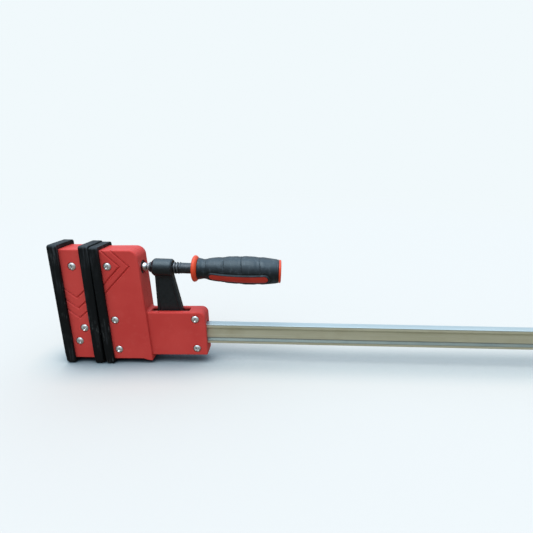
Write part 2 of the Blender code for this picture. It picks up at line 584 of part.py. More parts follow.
def make_spindle():
    n = 24
    ph = math.pi / n
    # screw with its neck, threaded length, plain shank and the tang inside the handle
    prof = [(5.9, 3.8), (6.2, 5.2), (8.6, 5.5), (8.8, 7.1), (11.3, 7.1), (11.5, 6.0), (12.4, 6.0),
            (13.2, THREAD_R), (51.5, THREAD_R), (52.6, SHANK_R),
            (76.5, SHANK_R), (76.5, 5.4), (150.0, 5.4), (151.0, 4.6)]
    sp = lathe(prof, n, ph)
    sp = cut(sp, bar(0, 21.0, 2.8, 12), pin(84.0, 0, 1.8, -12, 12, 12))
    node("spindle", sp, "oxide", SPIN)
    # ball tip: stem with a clip groove, ball, and the spigot pressed into the spindle
    prof = [(-21.0, 2.2), (-20.4, 2.9), (-18.6, 2.9), (-18.6, 2.2), (-16.8, 2.2), (-16.8, 3.4), (-5.1, 3.4)]
    prof += [(-BALL_R * math.cos(t), BALL_R * math.sin(t))
             for t in [math.radians(v) for v in (42, 60, 78, 96, 114, 132, 150)]]
    prof += [(5.5, 2.5), (20.0, 2.5), (20.5, 2.0)]
    node("spindle_tip", lathe(prof, n, ph), "zinc", SPIN)
    clip = cut(bar(-18.3, -17.1, 5.6, 16), bar(-30, 0, 2.5, 16), box(-30, 0, -1.6, 1.6, -9, 0))
    node("tip_clip", clip, "zinc", SPIN)
    # collar in front of the grip
    prof = [(68.6, 12.0), (68.6, 16.2), (69.4, 17.6), (71.0, 18.3), (72.8, 18.0), (74.4, 16.8), (75.5, 15.0)]
    col = cut(lathe(prof, n, ph), bar(60, 80, SHANK_R + GAP, n))
    node("handle_collar", col, "orange", SPIN)
    # grip core, bored for the tang
    core = lathe([(p, r - CORE_STEP) for p, r in GRIP], n, ph)
    core = cut(core, bar(70, 77.0, SHANK_R + GAP, n), bar(70, 152.0, 5.4 + GAP, n),
               pin(84.0, 0, 1.8, -30, 30, 12))
    node("grip_core", core, "nylon", SPIN)
    node("handle_pin", lathe([(-10.9, 1.2), (-10.5, 1.5), (10.5, 1.5), (10.9, 1.2)], 12, ph, axis="Y"),
         "zinc", SPIN).location = (84.0 * MM, 0, 0)
    # rubber sleeve with two windows, and the two inlays that show through them
    roll = Matrix.Rotation(math.pi / 2 + HANDLE_ROLL, 3, "X")
    hole = lathe([(GRIP[0][0] - 4, GRIP[0][1] - CORE_STEP + GAP)] +
                 [(p, r - CORE_STEP + GAP) for p, r in GRIP] +
                 [(GRIP[-1][0] + 4, GRIP[-1][1] - CORE_STEP + GAP)], n, ph)
    sleeve = cut(lathe(GRIP, n, ph), hole)
    wins = [moved(capsule(INLAY_P0, INLAY_P1, INLAY_HALF, s, GAP), turn=roll) for s in (1, -1)]
    sleeve = cut(sleeve, *wins)
    node("grip_sleeve", sleeve, "rubber", SPIN)
    for label, s in (("front", 1), ("back", -1)):
        shell = cut(lathe([(p, r - 0.25) for p, r in GRIP], n, ph),
                    lathe([(GRIP[0][0] - 4, GRIP[0][1] - CORE_STEP + GAP)] +
                          [(p, r - CORE_STEP + GAP) for p, r in GRIP] +
                          [(GRIP[-1][0] + 4, GRIP[-1][1] - CORE_STEP + GAP)], n, ph))
        piece = common(shell, moved(capsule(INLAY_P0, INLAY_P1, INLAY_HALF, s), turn=roll))
        node("grip_inlay_" + label, piece, "orange", SPIN)
    prof = [(186.6, 15.9), (188.0, 15.4), (189.2, 13.8), (189.8, 9.0), (189.8, 0.0)]
    node("end_cap", lathe(prof, n, ph), "orange", SPIN)


make_rail()
make_fixed_jaw()
make_rail_end()
make_head()
make_arm()
make_spindle()
bpy.context.view_layer.update()
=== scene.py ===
"""Looks of the parallel-jaw bar clamp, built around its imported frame.

Drawing coordinates are millimetres in three frames, the same ones the solids are
drawn in: clamp frame (x along the rail), head frame (leans by HEAD_TILT) and
spindle frame (p along the spindle, from the centre of the ball tip).
"""
import math
import random

import bpy
import bmesh
import numpy as np
from mathutils import Matrix, Vector


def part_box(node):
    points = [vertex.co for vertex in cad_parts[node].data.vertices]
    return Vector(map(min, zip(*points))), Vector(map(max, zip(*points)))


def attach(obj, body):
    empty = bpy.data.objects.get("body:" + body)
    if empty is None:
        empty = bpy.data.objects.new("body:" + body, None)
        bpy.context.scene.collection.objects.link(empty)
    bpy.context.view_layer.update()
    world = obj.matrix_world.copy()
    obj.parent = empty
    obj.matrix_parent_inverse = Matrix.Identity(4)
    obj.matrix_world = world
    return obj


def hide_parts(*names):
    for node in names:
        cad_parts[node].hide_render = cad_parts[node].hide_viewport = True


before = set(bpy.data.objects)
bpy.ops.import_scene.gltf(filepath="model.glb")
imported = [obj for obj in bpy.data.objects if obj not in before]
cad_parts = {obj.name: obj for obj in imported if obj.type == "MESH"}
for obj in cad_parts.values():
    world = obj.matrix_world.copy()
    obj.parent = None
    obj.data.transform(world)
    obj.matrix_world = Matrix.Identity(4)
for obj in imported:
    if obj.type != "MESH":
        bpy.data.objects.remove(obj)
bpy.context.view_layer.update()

# ------------------------------------------------------------------ dimensions, mm
MM = 0.001
RAIL_H, RAIL_Z = 29.0, 29.5
RAIL_MID = RAIL_Z + RAIL_H / 2
RAIL_LEFT, RAIL_RIGHT = -42.5, 790.0
JAW_HALF, BODY_HALF, PAD_HALF = 16.6, 13.1, 20.9
PAD_T, FIX_PAD_T, PAD_PLATE, WALL, SPLIT, GAP = 12.0, 13.0, 4.6, 3.0, 0.15, 0.3
OUTER_TOP, FACE_TOP, HEAD_TOP = 175.0, 174.2, 173.7
FIX_OUT, FIX_FACE, FIX_Z0, FIX_Z1 = -52.9, 1.8, 7.1, 168.9
HEAD_TILT, PIVOT, HEAD_FACE = 0.018, (70.0, 44.0), 4.55
HEAD_Z0, HEAD_Z1 = 7.3, 168.9
HEAD_REAR_LO, HEAD_REAR_HI = 71.4, 66.3
BODY_X1, BODY_Z0, BODY_Z1 = 151.5, 11.9, 78.65
SLOT_X0, SLOT_X1, SLOT_HALF = 72.8, 127.8, 6.0
SPINDLE_TILT, BALL, BALL_R = 0.0195, (65.8, 141.8), 6.2
PITCH, THREAD_R, SHANK_R = 4.0, 8.0, 7.4
HANDLE_ROLL = math.radians(26.8)
CBORE_R, CBORE_DEPTH, SCREW_HOLE = 5.85, 1.6, 2.8
FIX_SCREWS = (("top", -25.5, 145.2), ("upper", -21.1, 54.5), ("lower", -31.0, 33.9))
JAW_SCREWS = (("top", 24.3, 146.6), ("middle", 24.3, 68.3), ("bottom", 24.3, 22.5))
BODY_SCREWS = (("body_top", 136.6, 68.0), ("body_bottom", 136.6, 22.4))
WIN_Z0, WIN_Z1, WIN_HALF = 27.4, 60.6, 7.1
GRIP = ((75.8, 15.2), (79.5, 14.4), (85.0, 14.0), (92.0, 15.1), (99.0, 16.4), (119.5, 18.7),
        (140.0, 19.7), (158.0, 19.4), (174.5, 18.1), (182.0, 17.0), (186.3, 16.1))
INLAY_P0, INLAY_P1, INLAY_HALF = 90.0, 172.5, 6.6
INLAY_W = 6.0                                # half width of the strip that shows inside the rubber's lip

# ------------------------------------------------------------------ frames
_lo, _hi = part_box("outer_pad")
X0 = _lo[0] / MM - FIX_OUT
S = Matrix.Diagonal((MM, MM, MM, 1.0))
T = Matrix.Translation
CLAMP = S @ T((X0, 0, 0))
HEAD = S @ T((X0 + PIVOT[0], 0, PIVOT[1])) @ Matrix.Rotation(-HEAD_TILT, 4, "Y") @ T((-PIVOT[0], 0, -PIVOT[1]))
SPIN = S @ T((X0 + BALL[0], 0, BALL[1])) @ Matrix.Rotation(SPINDLE_TILT, 4, "Y")
SEAT_TURN = Matrix.Rotation(HEAD_TILT + SPINDLE_TILT, 3, "Y")


def to_spindle(x, z):
    dx, dz = x - BALL[0], z - BALL[1]
    c, s = math.cos(SPINDLE_TILT), math.sin(SPINDLE_TILT)
    return dx * c - dz * s, dx * s + dz * c


def ball_in_head():
    dx, dz = BALL[0] - PIVOT[0], BALL[1] - PIVOT[1]
    c, s = math.cos(HEAD_TILT), math.sin(HEAD_TILT)
    return PIVOT[0] + dx * c + dz * s, PIVOT[1] - dx * s + dz * c


# ------------------------------------------------------------------ shape tools
def orient(bm):
    bmesh.ops.recalc_face_normals(bm, faces=bm.faces[:])
    if bm.calc_volume(signed=True) < 0:
        bmesh.ops.reverse_faces(bm, faces=bm.faces[:])
    return bm


def rounded(points, radii, seg=8):
    """Outline with rounded corners as a list of (a, b, corner radius); 0 marks a sharp corner."""
    area = sum(points[i - 1][0] * points[i][1] - points[i][0] * points[i - 1][1]
               for i in range(len(points)))
    if area < 0:
        points, radii = points[::-1], radii[::-1]
    out = []
    n = len(points)
    for i, (x, z) in enumerate(points):
        r = radii[i]
        if r <= 0:
            out.append((x, z, 0.0))
            continue
        v = Vector((x, z))
        da = (Vector(points[i - 1]) - v).normalized()
        db = (Vector(points[(i + 1) % n]) - v).normalized()
        ang = da.angle(db)
        d = r / math.tan(ang / 2)
        c = v + (da + db).normalized() * (r / math.sin(ang / 2))
        s0, s1 = (v + da * d) - c, (v + db * d) - c
        t0, t1 = math.atan2(s0.y, s0.x), math.atan2(s1.y, s1.x)
        while t1 - t0 > math.pi:
            t1 -= 2 * math.pi
        while t1 - t0 < -math.pi:
            t1 += 2 * math.pi
        concave = (t1 - t0) < 0
        for k in range(seg + 1):
            t = t0 + (t1 - t0) * k / seg
            out.append((c.x + r * math.cos(t), c.y + r * math.sin(t), 1e3 if concave else r))
    return out


def inset(outline, dist):
    """Outline moved inwards; dist is a number or one number for each point."""
    n = len(outline)
    out = []
    for i in range(n):
        a, b, c = (Vector(outline[(i + k) % n][:2]) for k in (-1, 0, 1))
        d1, d2 = (b - a).normalized(), (c - b).normalized()
        n1, n2 = Vector((-d1.y, d1.x)), Vector((-d2.y, d2.x))
        m = (n1 + n2).normalized()
        d = dist[i] if isinstance(dist, (list, tuple)) else dist
        q = b + m * (d / max(0.35, m.dot(n1)))
        out.append((q.x, q.y))
    return out


PUT = {"Y": lambda a, b, h: (a, h, b), "X": lambda a, b, h: (h, a, b), "Z": lambda a, b, h: (a, b, h)}


def stack(rings, axis):
    """Closed solid through a pile of outlines: rings is a list of (height, outline)."""
    bm = bmesh.new()
    put = PUT[axis]
    vs = [[bm.verts.new(put(q[0], q[1], h[i] if isinstance(h, (list, tuple)) else h))
           for i, q in enumerate(ring)] for h, ring in rings]
    n = len(vs[0])
    for r0, r1 in zip(vs, vs[1:]):
        for k in range(n):
            j = (k + 1) % n
            bm.faces.new((r0[k], r0[j], r1[j], r1[k]))
    bm.faces.new(vs[0])
    bm.faces.new(vs[-1])
    return orient(bm)


def soft_prism(outline, h0, h1, e0, e1, axis="Y", steps=5):
    """Outline pushed from h0 to h1 with its two rims rounded by e0 and e1, numbers or one for each point."""
    n = len(outline)

    def widths(e):
        es = list(e) if isinstance(e, (list, tuple)) else [e] * n
        return [min(v, 0.9 * outline[i][2]) if outline[i][2] > 0 else v for i, v in enumerate(es)]
    w0, w1 = widths(e0), widths(e1)
    up = 1.0 if h1 > h0 else -1.0
    rings = []
    for k in range(steps + 1):
        t = math.pi / 2 * k / steps
        rings.append(([h0 + up * w * (1 - math.cos(t)) for w in w0],
                      inset(outline, [w * (1 - math.sin(t)) for w in w0])))
    for k in range(steps, -1, -1):
        t = math.pi / 2 * k / steps
        rings.append(([h1 - up * w * (1 - math.cos(t)) for w in w1],
                      inset(outline, [w * (1 - math.sin(t)) for w in w1])))
    return stack(rings, axis)


def box(x0, x1, y0, y1, z0, z1):
    return stack([(y0, [(x0, z0), (x1, z0), (x1, z1), (x0, z1)]),
                  (y1, [(x0, z0), (x1, z0), (x1, z1), (x0, z1)])], "Y")


def prism(points, y0, y1):
    return stack([(y0, points), (y1, points)], "Y")


def flared(outline, h_in, h_face, flare, axis, beyond=3.0, steps=5):
    """Cutter that leaves a rounded mouth at h_face."""
    up = 1.0 if h_face > h_in else -1.0
    rings = [(h_in, inset(outline, 0.0))]
    for k in range(steps + 1):
        t = math.pi / 2 * k / steps
        rings.append((h_face - up * flare * (1 - math.sin(t)) + up * 0.002 * k / steps,
                      inset(outline, -flare * (1 - math.cos(t)))))
    rings.append((h_face + up * beyond, inset(outline, -flare)))
    return stack(rings, axis)


def spline(points, per=6):
    """Catmull-Rom through (position, radius) points, so a turned profile has no facets."""
    pts = [Vector(p) for p in points]
    out = []
    for i in range(len(pts) - 1):
        p0 = pts[i - 1] if i else pts[0] * 2 - pts[1]
        p1, p2 = pts[i], pts[i + 1]
        p3 = pts[i + 2] if i + 2 < len(pts) else pts[-1] * 2 - pts[-2]
        for k in range(per):
            t = k / per
            q = 0.5 * ((2 * p1) + (p2 - p0) * t + (2 * p0 - 5 * p1 + 4 * p2 - p3) * t * t
                       + (3 * p1 - 3 * p2 + p3 - p0) * t ** 3)
            out.append((q.x, max(0.0, q.y)))
    out.append(tuple(pts[-1]))
    return out


def arc(cx, cr, r, a0, a1, n=6):
    """Points of an arc in a turned profile, angles in degrees."""
    return [(cx + r * math.cos(math.radians(a0 + (a1 - a0) * k / n)),
             cr + r * math.sin(math.radians(a0 + (a1 - a0) * k / n))) for k in range(n + 1)]


def lathe(profile, n=96, phase=0.0, axis="X"):
    """Turned solid about x; a profile that doesn't touch the axis at its ends is capped."""
    bm = bmesh.new()
    rings = []
    for p, r in profile:
        if r <= 1e-6:
            rings.append([bm.verts.new((p, 0, 0))])
        else:
            rings.append([bm.verts.new((p, r * math.cos(phase + 2 * math.pi * k / n),
                                        r * math.sin(phase + 2 * math.pi * k / n))) for k in range(n)])
    for a, b in zip(rings, rings[1:]):
        for k in range(n):
            j = (k + 1) % n
            if len(a) == 1 and len(b) == 1:
                continue
            if len(a) == 1:
                bm.faces.new((a[0], b[k], b[j]))
            elif len(b) == 1:
                bm.faces.new((a[k], a[j], b[0]))
            else:
                bm.faces.new((a[k], a[j], b[j], b[k]))
    if len(rings[0]) > 1:
        bm.faces.new(rings[0])
    if len(rings[-1]) > 1:
        bm.faces.new(rings[-1])
    if axis == "Y":
        bmesh.ops.rotate(bm, verts=bm.verts[:], cent=(0, 0, 0), matrix=Matrix.Rotation(math.radians(90), 3, "Z"))
    return orient(bm)


def tube(profile, n=96):
    """Turned ring about x from a closed profile that never reaches the axis."""
    bm = bmesh.new()
    rings = [[bm.verts.new((p, r * math.cos(2 * math.pi * k / n), r * math.sin(2 * math.pi * k / n)))
              for k in range(n)] for p, r in profile]
    for i in range(len(rings)):
        a, b = rings[i], rings[(i + 1) % len(rings)]
        for k in range(n):
            j = (k + 1) % n
            bm.faces.new((a[k], a[j], b[j], b[k]))
    return orient(bm)


def moved(bm, vec=(0, 0, 0), turn=None):
    if turn is not None:
        bmesh.ops.rotate(bm, verts=bm.verts[:], cent=(0, 0, 0), matrix=turn)
    bmesh.ops.translate(bm, verts=bm.verts[:], vec=vec)
    return bm


def pin(x, z, r, y0, y1, n=48):
    return moved(lathe([(y0, r), (y1, r)], n, math.pi / n, axis="Y"), (x, 0, z))


def bar(p0, p1, r, n=64):
    return lathe([(p0, r), (p1, r)], n, math.pi / n)


def link(bm, name):
    me = bpy.data.meshes.new(name)
    bm.to_mesh(me)
    bm.free()
    ob = bpy.data.objects.new(name, me)
    bpy.context.scene.collection.objects.link(ob)
    return ob


def combine(base, parts, operation):
    ob = link(base, "work")
    for i, part in enumerate(parts):
        tool = link(part, "tool")
        m = ob.modifiers.new("b", "BOOLEAN")
        m.solver = "EXACT"
        m.operation = operation
        m.object = tool
        dg = bpy.context.evaluated_depsgraph_get()
        me = bpy.data.meshes.new_from_object(ob.evaluated_get(dg))
        ob.modifiers.clear()
        old = ob.data
        ob.data = me
        bpy.data.meshes.remove(old)
        tm = tool.data
        bpy.data.objects.remove(tool, do_unlink=True)
        bpy.data.meshes.remove(tm)
    bm = bmesh.new()
    bm.from_mesh(ob.data)
    me = ob.data
    bpy.data.objects.remove(ob, do_unlink=True)
    bpy.data.meshes.remove(me)
    bmesh.ops.remove_doubles(bm, verts=bm.verts[:], dist=2e-4)
    return bm


def join(base, *parts):
    return combine(base, parts, "UNION")


def cut(base, *parts):
    return combine(base, parts, "DIFFERENCE")


def mirrored(bm):
    """Copy across the rail's middle plane."""
    out = bm.copy()
    for v in out.verts:
        v.co.y = -v.co.y
    return orient(out)


def remeshed(bm, voxel, smooth=4):
    """Cast look: one skin over the joined solids, its corners melted together."""
    ob = link(bm, "work")
    m = ob.modifiers.new("r", "REMESH")
    m.mode = "VOXEL"
    m.voxel_size = voxel
    m.use_smooth_shade = True
    s = ob.modifiers.new("s", "SMOOTH")
    s.factor = 0.5
    s.iterations = smooth
    dg = bpy.context.evaluated_depsgraph_get()
    me = bpy.data.meshes.new_from_object(ob.evaluated_get(dg))
    out = bmesh.new()
    out.from_mesh(me)
    old = ob.data
    bpy.data.objects.remove(ob, do_unlink=True)
    bpy.data.meshes.remove(old)
    bpy.data.meshes.remove(me)
    return out


def piece(name, bm, where, body, mat, nodes, sharp=32.0, weighted=True):
    """A finished piece: placed in the frame, shaded, painted, and riding on its body."""
    bm.transform(where)
    me = bpy.data.meshes.new(name)
    for f in bm.faces:
        f.smooth = True
    bm.to_mesh(me)
    bm.free()
    me.set_sharp_from_angle(angle=math.radians(sharp))
    ob = bpy.data.objects.new(name, me)
    bpy.context.scene.collection.objects.link(ob)
    me.materials.append(mat)
    if weighted:
        w = ob.modifiers.new("normals", "WEIGHTED_NORMAL")
        w.keep_sharp = True
        w.weight = 60
    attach(ob, body)
    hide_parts(*nodes)
    return ob


# ------------------------------------------------------------------ materials
class Paint:
    """A Principled material with helpers for the procedural nodes behind it. Coordinates are
    the piece's own, in metres, so a pattern has a real size and moves with its piece."""

    def __init__(self, name, rough=0.4, metal=0.0, **sockets):
        self.m = bpy.data.materials.new(name)
        self.m.use_nodes = True
        self.nt = self.m.node_tree
        self.b = self.nt.nodes["Principled BSDF"]
        self.b.inputs["Roughness"].default_value = rough
        self.b.inputs["Metallic"].default_value = metal
        for k, v in sockets.items():
            self.b.inputs[k.replace("_", " ")].default_value = v
        self.co = self.node("ShaderNodeTexCoord").outputs["Object"]

    def node(self, kind, **values):
        n = self.nt.nodes.new(kind)
        for k, v in values.items():
            setattr(n, k, v)
        return n

    def wire(self, a, b):
        self.nt.links.new(a, b)

    def stretch(self, scale, turn=0.0):
        n = self.node("ShaderNodeMapping")
        n.inputs["Scale"].default_value = scale
        n.inputs["Rotation"].default_value = (0.0, turn, 0.0)
        self.wire(self.co, n.inputs["Vector"])
        return n.outputs["Vector"]

    def noise(self, scale, detail=3.0, rough=0.55, where=None, warp=0.0):
        n = self.node("ShaderNodeTexNoise")
        n.inputs["Scale"].default_value = scale
        n.inputs["Detail"].default_value = detail
        n.inputs["Roughness"].default_value = rough
        n.inputs["Distortion"].default_value = warp
        self.wire(where or self.co, n.inputs["Vector"])
        return n.outputs["Fac"]

    def remap(self, fac, a, b, lo=0.0, hi=1.0):
        n = self.node("ShaderNodeMapRange")
        n.inputs["From Min"].default_value = a
        n.inputs["From Max"].default_value = b
        n.inputs["To Min"].default_value = lo
        n.inputs["To Max"].default_value = hi
        self.wire(fac, n.inputs["Value"])
        return n.outputs["Result"]

    def math(self, op, a, b=None):
        n = self.node("ShaderNodeMath", operation=op)
        for i, v in enumerate((a, b)):
            if v is None:
                continue
            if isinstance(v, (int, float)):
                n.inputs[i].default_value = v
            else:
                self.wire(v, n.inputs[i])
        return n.outputs[0]

    def mix(self, fac, a, b):
        n = self.node("ShaderNodeMix", data_type="RGBA")
        self.wire(fac, n.inputs["Factor"])
        for key, v in (("A", a), ("B", b)):
            sock = [s for s in n.inputs if s.name == key and s.type == "RGBA"][0]
            if isinstance(v, tuple):
                sock.default_value = (*v, 1.0)
            else:
                self.wire(v, sock)
        return [s for s in n.outputs if s.type == "RGBA"][0]

    def attribute(self, name):
        n = self.node("ShaderNodeAttribute", attribute_name=name)
        return n.outputs["Fac"]

    def colour(self, out):
        self.wire(out, self.b.inputs["Base Color"])

    def rough(self, out):
        self.wire(out, self.b.inputs["Roughness"])

    def bump(self, height, strength=0.3, distance=0.0002):
        n = self.node("ShaderNodeBump")
        n.inputs["Strength"].default_value = strength
        n.inputs["Distance"].default_value = distance
        self.wire(height, n.inputs["Height"])
        self.wire(n.outputs["Normal"], self.b.inputs["Normal"])


def red_plastic():
    p = Paint("red_housing", 0.4)
    p.b.inputs["Specular IOR Level"].default_value = 0.12
    broad = p.noise(14.0, 3.0)
    cloud = p.noise(90.0, 4.0, 0.6)
    base = p.mix(p.remap(broad, 0.35, 0.65), (0.500, 0.047, 0.043), (0.555, 0.061, 0.055))
    base = p.mix(p.remap(cloud, 0.55, 0.8, 0.0, 0.35), base, (0.585, 0.092, 0.082))
    rub = p.noise(1.0, 5.0, 0.7, p.stretch((900.0, 900.0, 60.0), 0.6))
    base = p.mix(p.remap(rub, 0.66, 0.8, 0.0, 0.25), base, (0.58, 0.16, 0.14))
    p.colour(base)
    p.rough(p.remap(cloud, 0.3, 0.75, 0.36, 0.50))
    grain = p.noise(1500.0, 2.0)
    p.bump(p.math("ADD", grain, p.math("MULTIPLY", p.noise(60.0, 2.0), 4.0)), 0.12, 0.00006)
    return p.m


def pad_plastic():
    p = Paint("black_pad", 0.5)
    # bluish specular tint: a painted sky colour in the pads' reflections
    p.b.inputs["Specular Tint"].default_value = (0.74, 0.91, 1.0, 1.0)
    p.b.inputs["Specular IOR Level"].default_value = 0.21
    scuff = p.noise(1.0, 5.0, 0.65, p.stretch((260.0, 260.0, 16.0)))
    patch = p.noise(22.0, 3.0)
    mark = p.math("MULTIPLY", p.remap(scuff, 0.5, 0.72), p.remap(patch, 0.42, 0.62))
    base = p.mix(mark, (0.0032, 0.0034, 0.0037), (0.045, 0.052, 0.060))
    # knocks: short pale streaks
    knock = p.noise(1.0, 6.0, 0.75, p.stretch((520.0, 520.0, 45.0)))
    spots = p.noise(38.0, 4.0, 0.6)
    base = p.mix(p.math("MULTIPLY", p.remap(knock, 0.54, 0.66), p.remap(spots, 0.51, 0.63)), base, (0.088, 0.104, 0.112))
    speck = p.noise(700.0, 3.0, 0.7)
    base = p.mix(p.remap(speck, 0.68, 0.8, 0.0, 0.5), base, (0.09, 0.10, 0.11))
    p.colour(base)
    p.rough(p.remap(scuff, 0.3, 0.7, 0.42, 0.6))
    p.bump(p.math("ADD", scuff, p.math("MULTIPLY", speck, 0.5)), 0.25, 0.00012)
    return p.m


def rail_steel():
    p = Paint("rail_steel", 0.34, 0.55)
    draw = p.noise(1.0, 6.0, 0.6, p.stretch((2.5, 420.0, 420.0)))
    band = p.noise(1.0, 3.0, 0.5, p.stretch((9.0, 70.0, 90.0)))
    stain = p.noise(30.0, 4.0, 0.6)
    base = p.mix(p.remap(band, 0.3, 0.7), (0.57, 0.575, 0.42), (0.68, 0.685, 0.53))
    base = p.mix(p.remap(stain, 0.5, 0.75, 0.0, 0.45), base, (0.50, 0.47, 0.32))
    base = p.mix(p.remap(draw, 0.55, 0.78, 0.0, 0.5), base, (0.76, 0.78, 0.68))
    # painted shade on the rounded top edge and on the lower slope of the web, and a bluer top face as a painted sky
    # reflection
    sep = p.node("ShaderNodeSeparateXYZ")
    p.wire(p.co, sep.inputs["Vector"])
    z = sep.outputs["Z"]
    # painted shade: a darker band over the rounded top edge, holding back its highlight
    base = p.mix(p.remap(z, 0.0572, 0.0576), base, (0.27, 0.30, 0.28))
    # painted reflection: the top face is coloured bluish like the sky it mirrors
    base = p.mix(p.remap(z, 0.0583, 0.0585), base, p.mix(p.remap(draw, 0.35, 0.7), (0.37, 0.45, 0.48), (0.46, 0.54, 0.56)))
    # painted shade: the lower slope of the web is darkened, a little less where the stain noise is high
    low = p.math("MULTIPLY", p.remap(z, 0.0326, 0.0338), p.remap(z, 0.0374, 0.0388, 1.0, 0.0))
    base = p.mix(p.math("MULTIPLY", low, p.remap(stain, 0.2, 0.8, 1.0, 0.86)), base, (0.15, 0.18, 0.17))
    p.colour(base)
    p.rough(p.remap(draw, 0.3, 0.7, 0.27, 0.42))
    p.bump(draw, 0.35, 0.00006)
    return p.m


def zinc():
    p = Paint("zinc_screw", 0.34, 0.72)
    spot = p.noise(420.0, 4.0, 0.6)
    p.colour(p.mix(p.remap(spot, 0.4, 0.7), (0.72, 0.735, 0.72), (0.46, 0.475, 0.455)))
    p.rough(p.remap(spot, 0.3, 0.7, 0.25, 0.40))
    p.bump(p.noise(1600.0, 2.0), 0.1, 0.00004)
    return p.m


def bright_steel():
    p = Paint("bright_steel", 0.14, 1.0)
    spot = p.noise(500.0, 4.0, 0.6)
    p.colour(p.mix(p.remap(spot, 0.45, 0.75), (0.60, 0.61, 0.61), (0.40, 0.385, 0.35)))
    p.rough(p.remap(spot, 0.3, 0.7, 0.1, 0.24))
    return p.m


def black_steel(worn=True):
    p = Paint("black_steel", 0.36, 0.6)
    spot = p.noise(300.0, 4.0, 0.6)
    base = p.mix(p.remap(spot, 0.35, 0.7), (0.020, 0.0240, 0.0285), (0.052, 0.060, 0.068))
    if worn:
        edge = p.math("MULTIPLY", p.attribute("wear"), p.remap(spot, 0.25, 0.6, 0.55, 1.0))
        base = p.mix(edge, base, (0.34, 0.36, 0.37))
    p.colour(base)
    p.rough(p.remap(spot, 0.3, 0.7, 0.28, 0.45))
    p.bump(p.noise(900.0, 3.0), 0.15, 0.00006)
    return p.m


def black_paint():
    p = Paint("black_paint", 0.4)
    # bluish specular tint: a painted sky colour in the paint's reflections
    p.b.inputs["Specular Tint"].default_value = (0.74, 0.91, 1.0, 1.0)
    p.b.inputs["Specular IOR Level"].default_value = 0.56
    orange_peel = p.noise(330.0, 2.0, 0.5)
    chip = p.noise(150.0, 5.0, 0.75)
    base = p.mix(p.remap(orange_peel, 0.3, 0.7), (0.0040, 0.0044, 0.0052), (0.0090, 0.0098, 0.0112))
    base = p.mix(p.remap(chip, 0.70, 0.78, 0.0, 0.6), base, (0.10, 0.10, 0.10))
    p.colour(base)
    p.rough(p.remap(orange_peel, 0.3, 0.7, 0.35, 0.47))
    p.bump(p.math("ADD", orange_peel, p.math("MULTIPLY", p.noise(1200.0, 2.0), 0.3)), 0.3, 0.00015)
    return p.m


def cast_iron():
    p = Paint("casting", 0.62, 0.7)
    grain = p.noise(500.0, 5.0, 0.65)
    p.colour(p.mix(p.remap(grain, 0.3, 0.7), (0.055, 0.054, 0.052), (0.13, 0.125, 0.12)))
    p.rough(p.remap(grain, 0.3, 0.7, 0.5, 0.75))
    p.bump(grain, 0.5, 0.0003)
    return p.m


def dull_brass():
    p = Paint("bush_brass", 0.4, 1.0)
    tarnish = p.noise(260.0, 4.0, 0.6)
    p.colour(p.mix(p.remap(tarnish, 0.3, 0.6), (0.20, 0.13, 0.055), (0.045, 0.038, 0.03)))
    p.rough(p.remap(tarnish, 0.3, 0.7, 0.35, 0.6))
    return p.m


def rubber():
    p = Paint("grip_rubber", 0.5)
    # bluish specular tint: a painted sky colour in the rubber's reflections
    p.b.inputs["Specular Tint"].default_value = (0.74, 0.91, 1.0, 1.0)
    p.b.inputs["Specular IOR Level"].default_value = 0.5
    dust = p.noise(60.0, 5.0, 0.65)
    pore = p.noise(1500.0, 2.0)
    base = p.mix(p.remap(dust, 0.35, 0.7), (0.0045, 0.0060, 0.0075), (0.013, 0.017, 0.021))
    # lighter bluish patches: partly rubbed wear, partly painted sheen
    rubbed_sheen = p.noise(1.0, 4.0, 0.6, p.stretch((210.0, 120.0, 120.0)))
    base = p.mix(p.remap(rubbed_sheen, 0.55, 0.75, 0.0, 0.8), base, (0.044, 0.056, 0.066))
    p.colour(base)
    p.rough(p.remap(dust, 0.3, 0.7, 0.34, 0.54))
    lumps = p.noise(1.0, 2.0, 0.5, p.stretch((170.0, 90.0, 90.0)))
    p.bump(p.math("ADD", p.math("MULTIPLY", pore, 0.12), p.math("MULTIPLY", lumps, 1.8)), 0.55, 0.00035)
    return p.m


def nylon():
    p = Paint("grip_nylon", 0.55)
    speck = p.noise(500.0, 3.0)
    p.colour(p.mix(p.remap(speck, 0.3, 0.7), (0.035, 0.038, 0.042), (0.07, 0.073, 0.08)))
    p.rough(p.remap(speck, 0.3, 0.7, 0.48, 0.62))
    return p.m


def orange(name, a, b):
    p = Paint(name, 0.38)
    p.b.inputs["Specular IOR Level"].default_value = 0.32
    broad = p.noise(45.0, 4.0, 0.6)
    fine = p.noise(1300.0, 2.0)
    base = p.mix(p.remap(broad, 0.35, 0.65), a, b)
    scuff = p.noise(260.0, 5.0, 0.7)
    base = p.mix(p.remap(scuff, 0.66, 0.8, 0.0, 0.4), base, (0.30, 0.05, 0.03))
    p.colour(base)
    p.rough(p.remap(broad, 0.3, 0.7, 0.3, 0.46))
    p.bump(fine, 0.12, 0.00005)
    return p.m


def foot_plastic():
    p = Paint("foot_plastic", 0.5)
    p.b.inputs["Specular IOR Level"].default_value = 0.3
    speck = p.noise(400.0, 4.0, 0.6)
    p.colour(p.mix(p.remap(speck, 0.3, 0.7), (0.010, 0.0105, 0.0115), (0.028, 0.029, 0.031)))
    p.rough(p.remap(speck, 0.3, 0.7, 0.42, 0.6))
    p.bump(p.noise(1300.0, 2.0), 0.25, 0.00008)
    return p.m


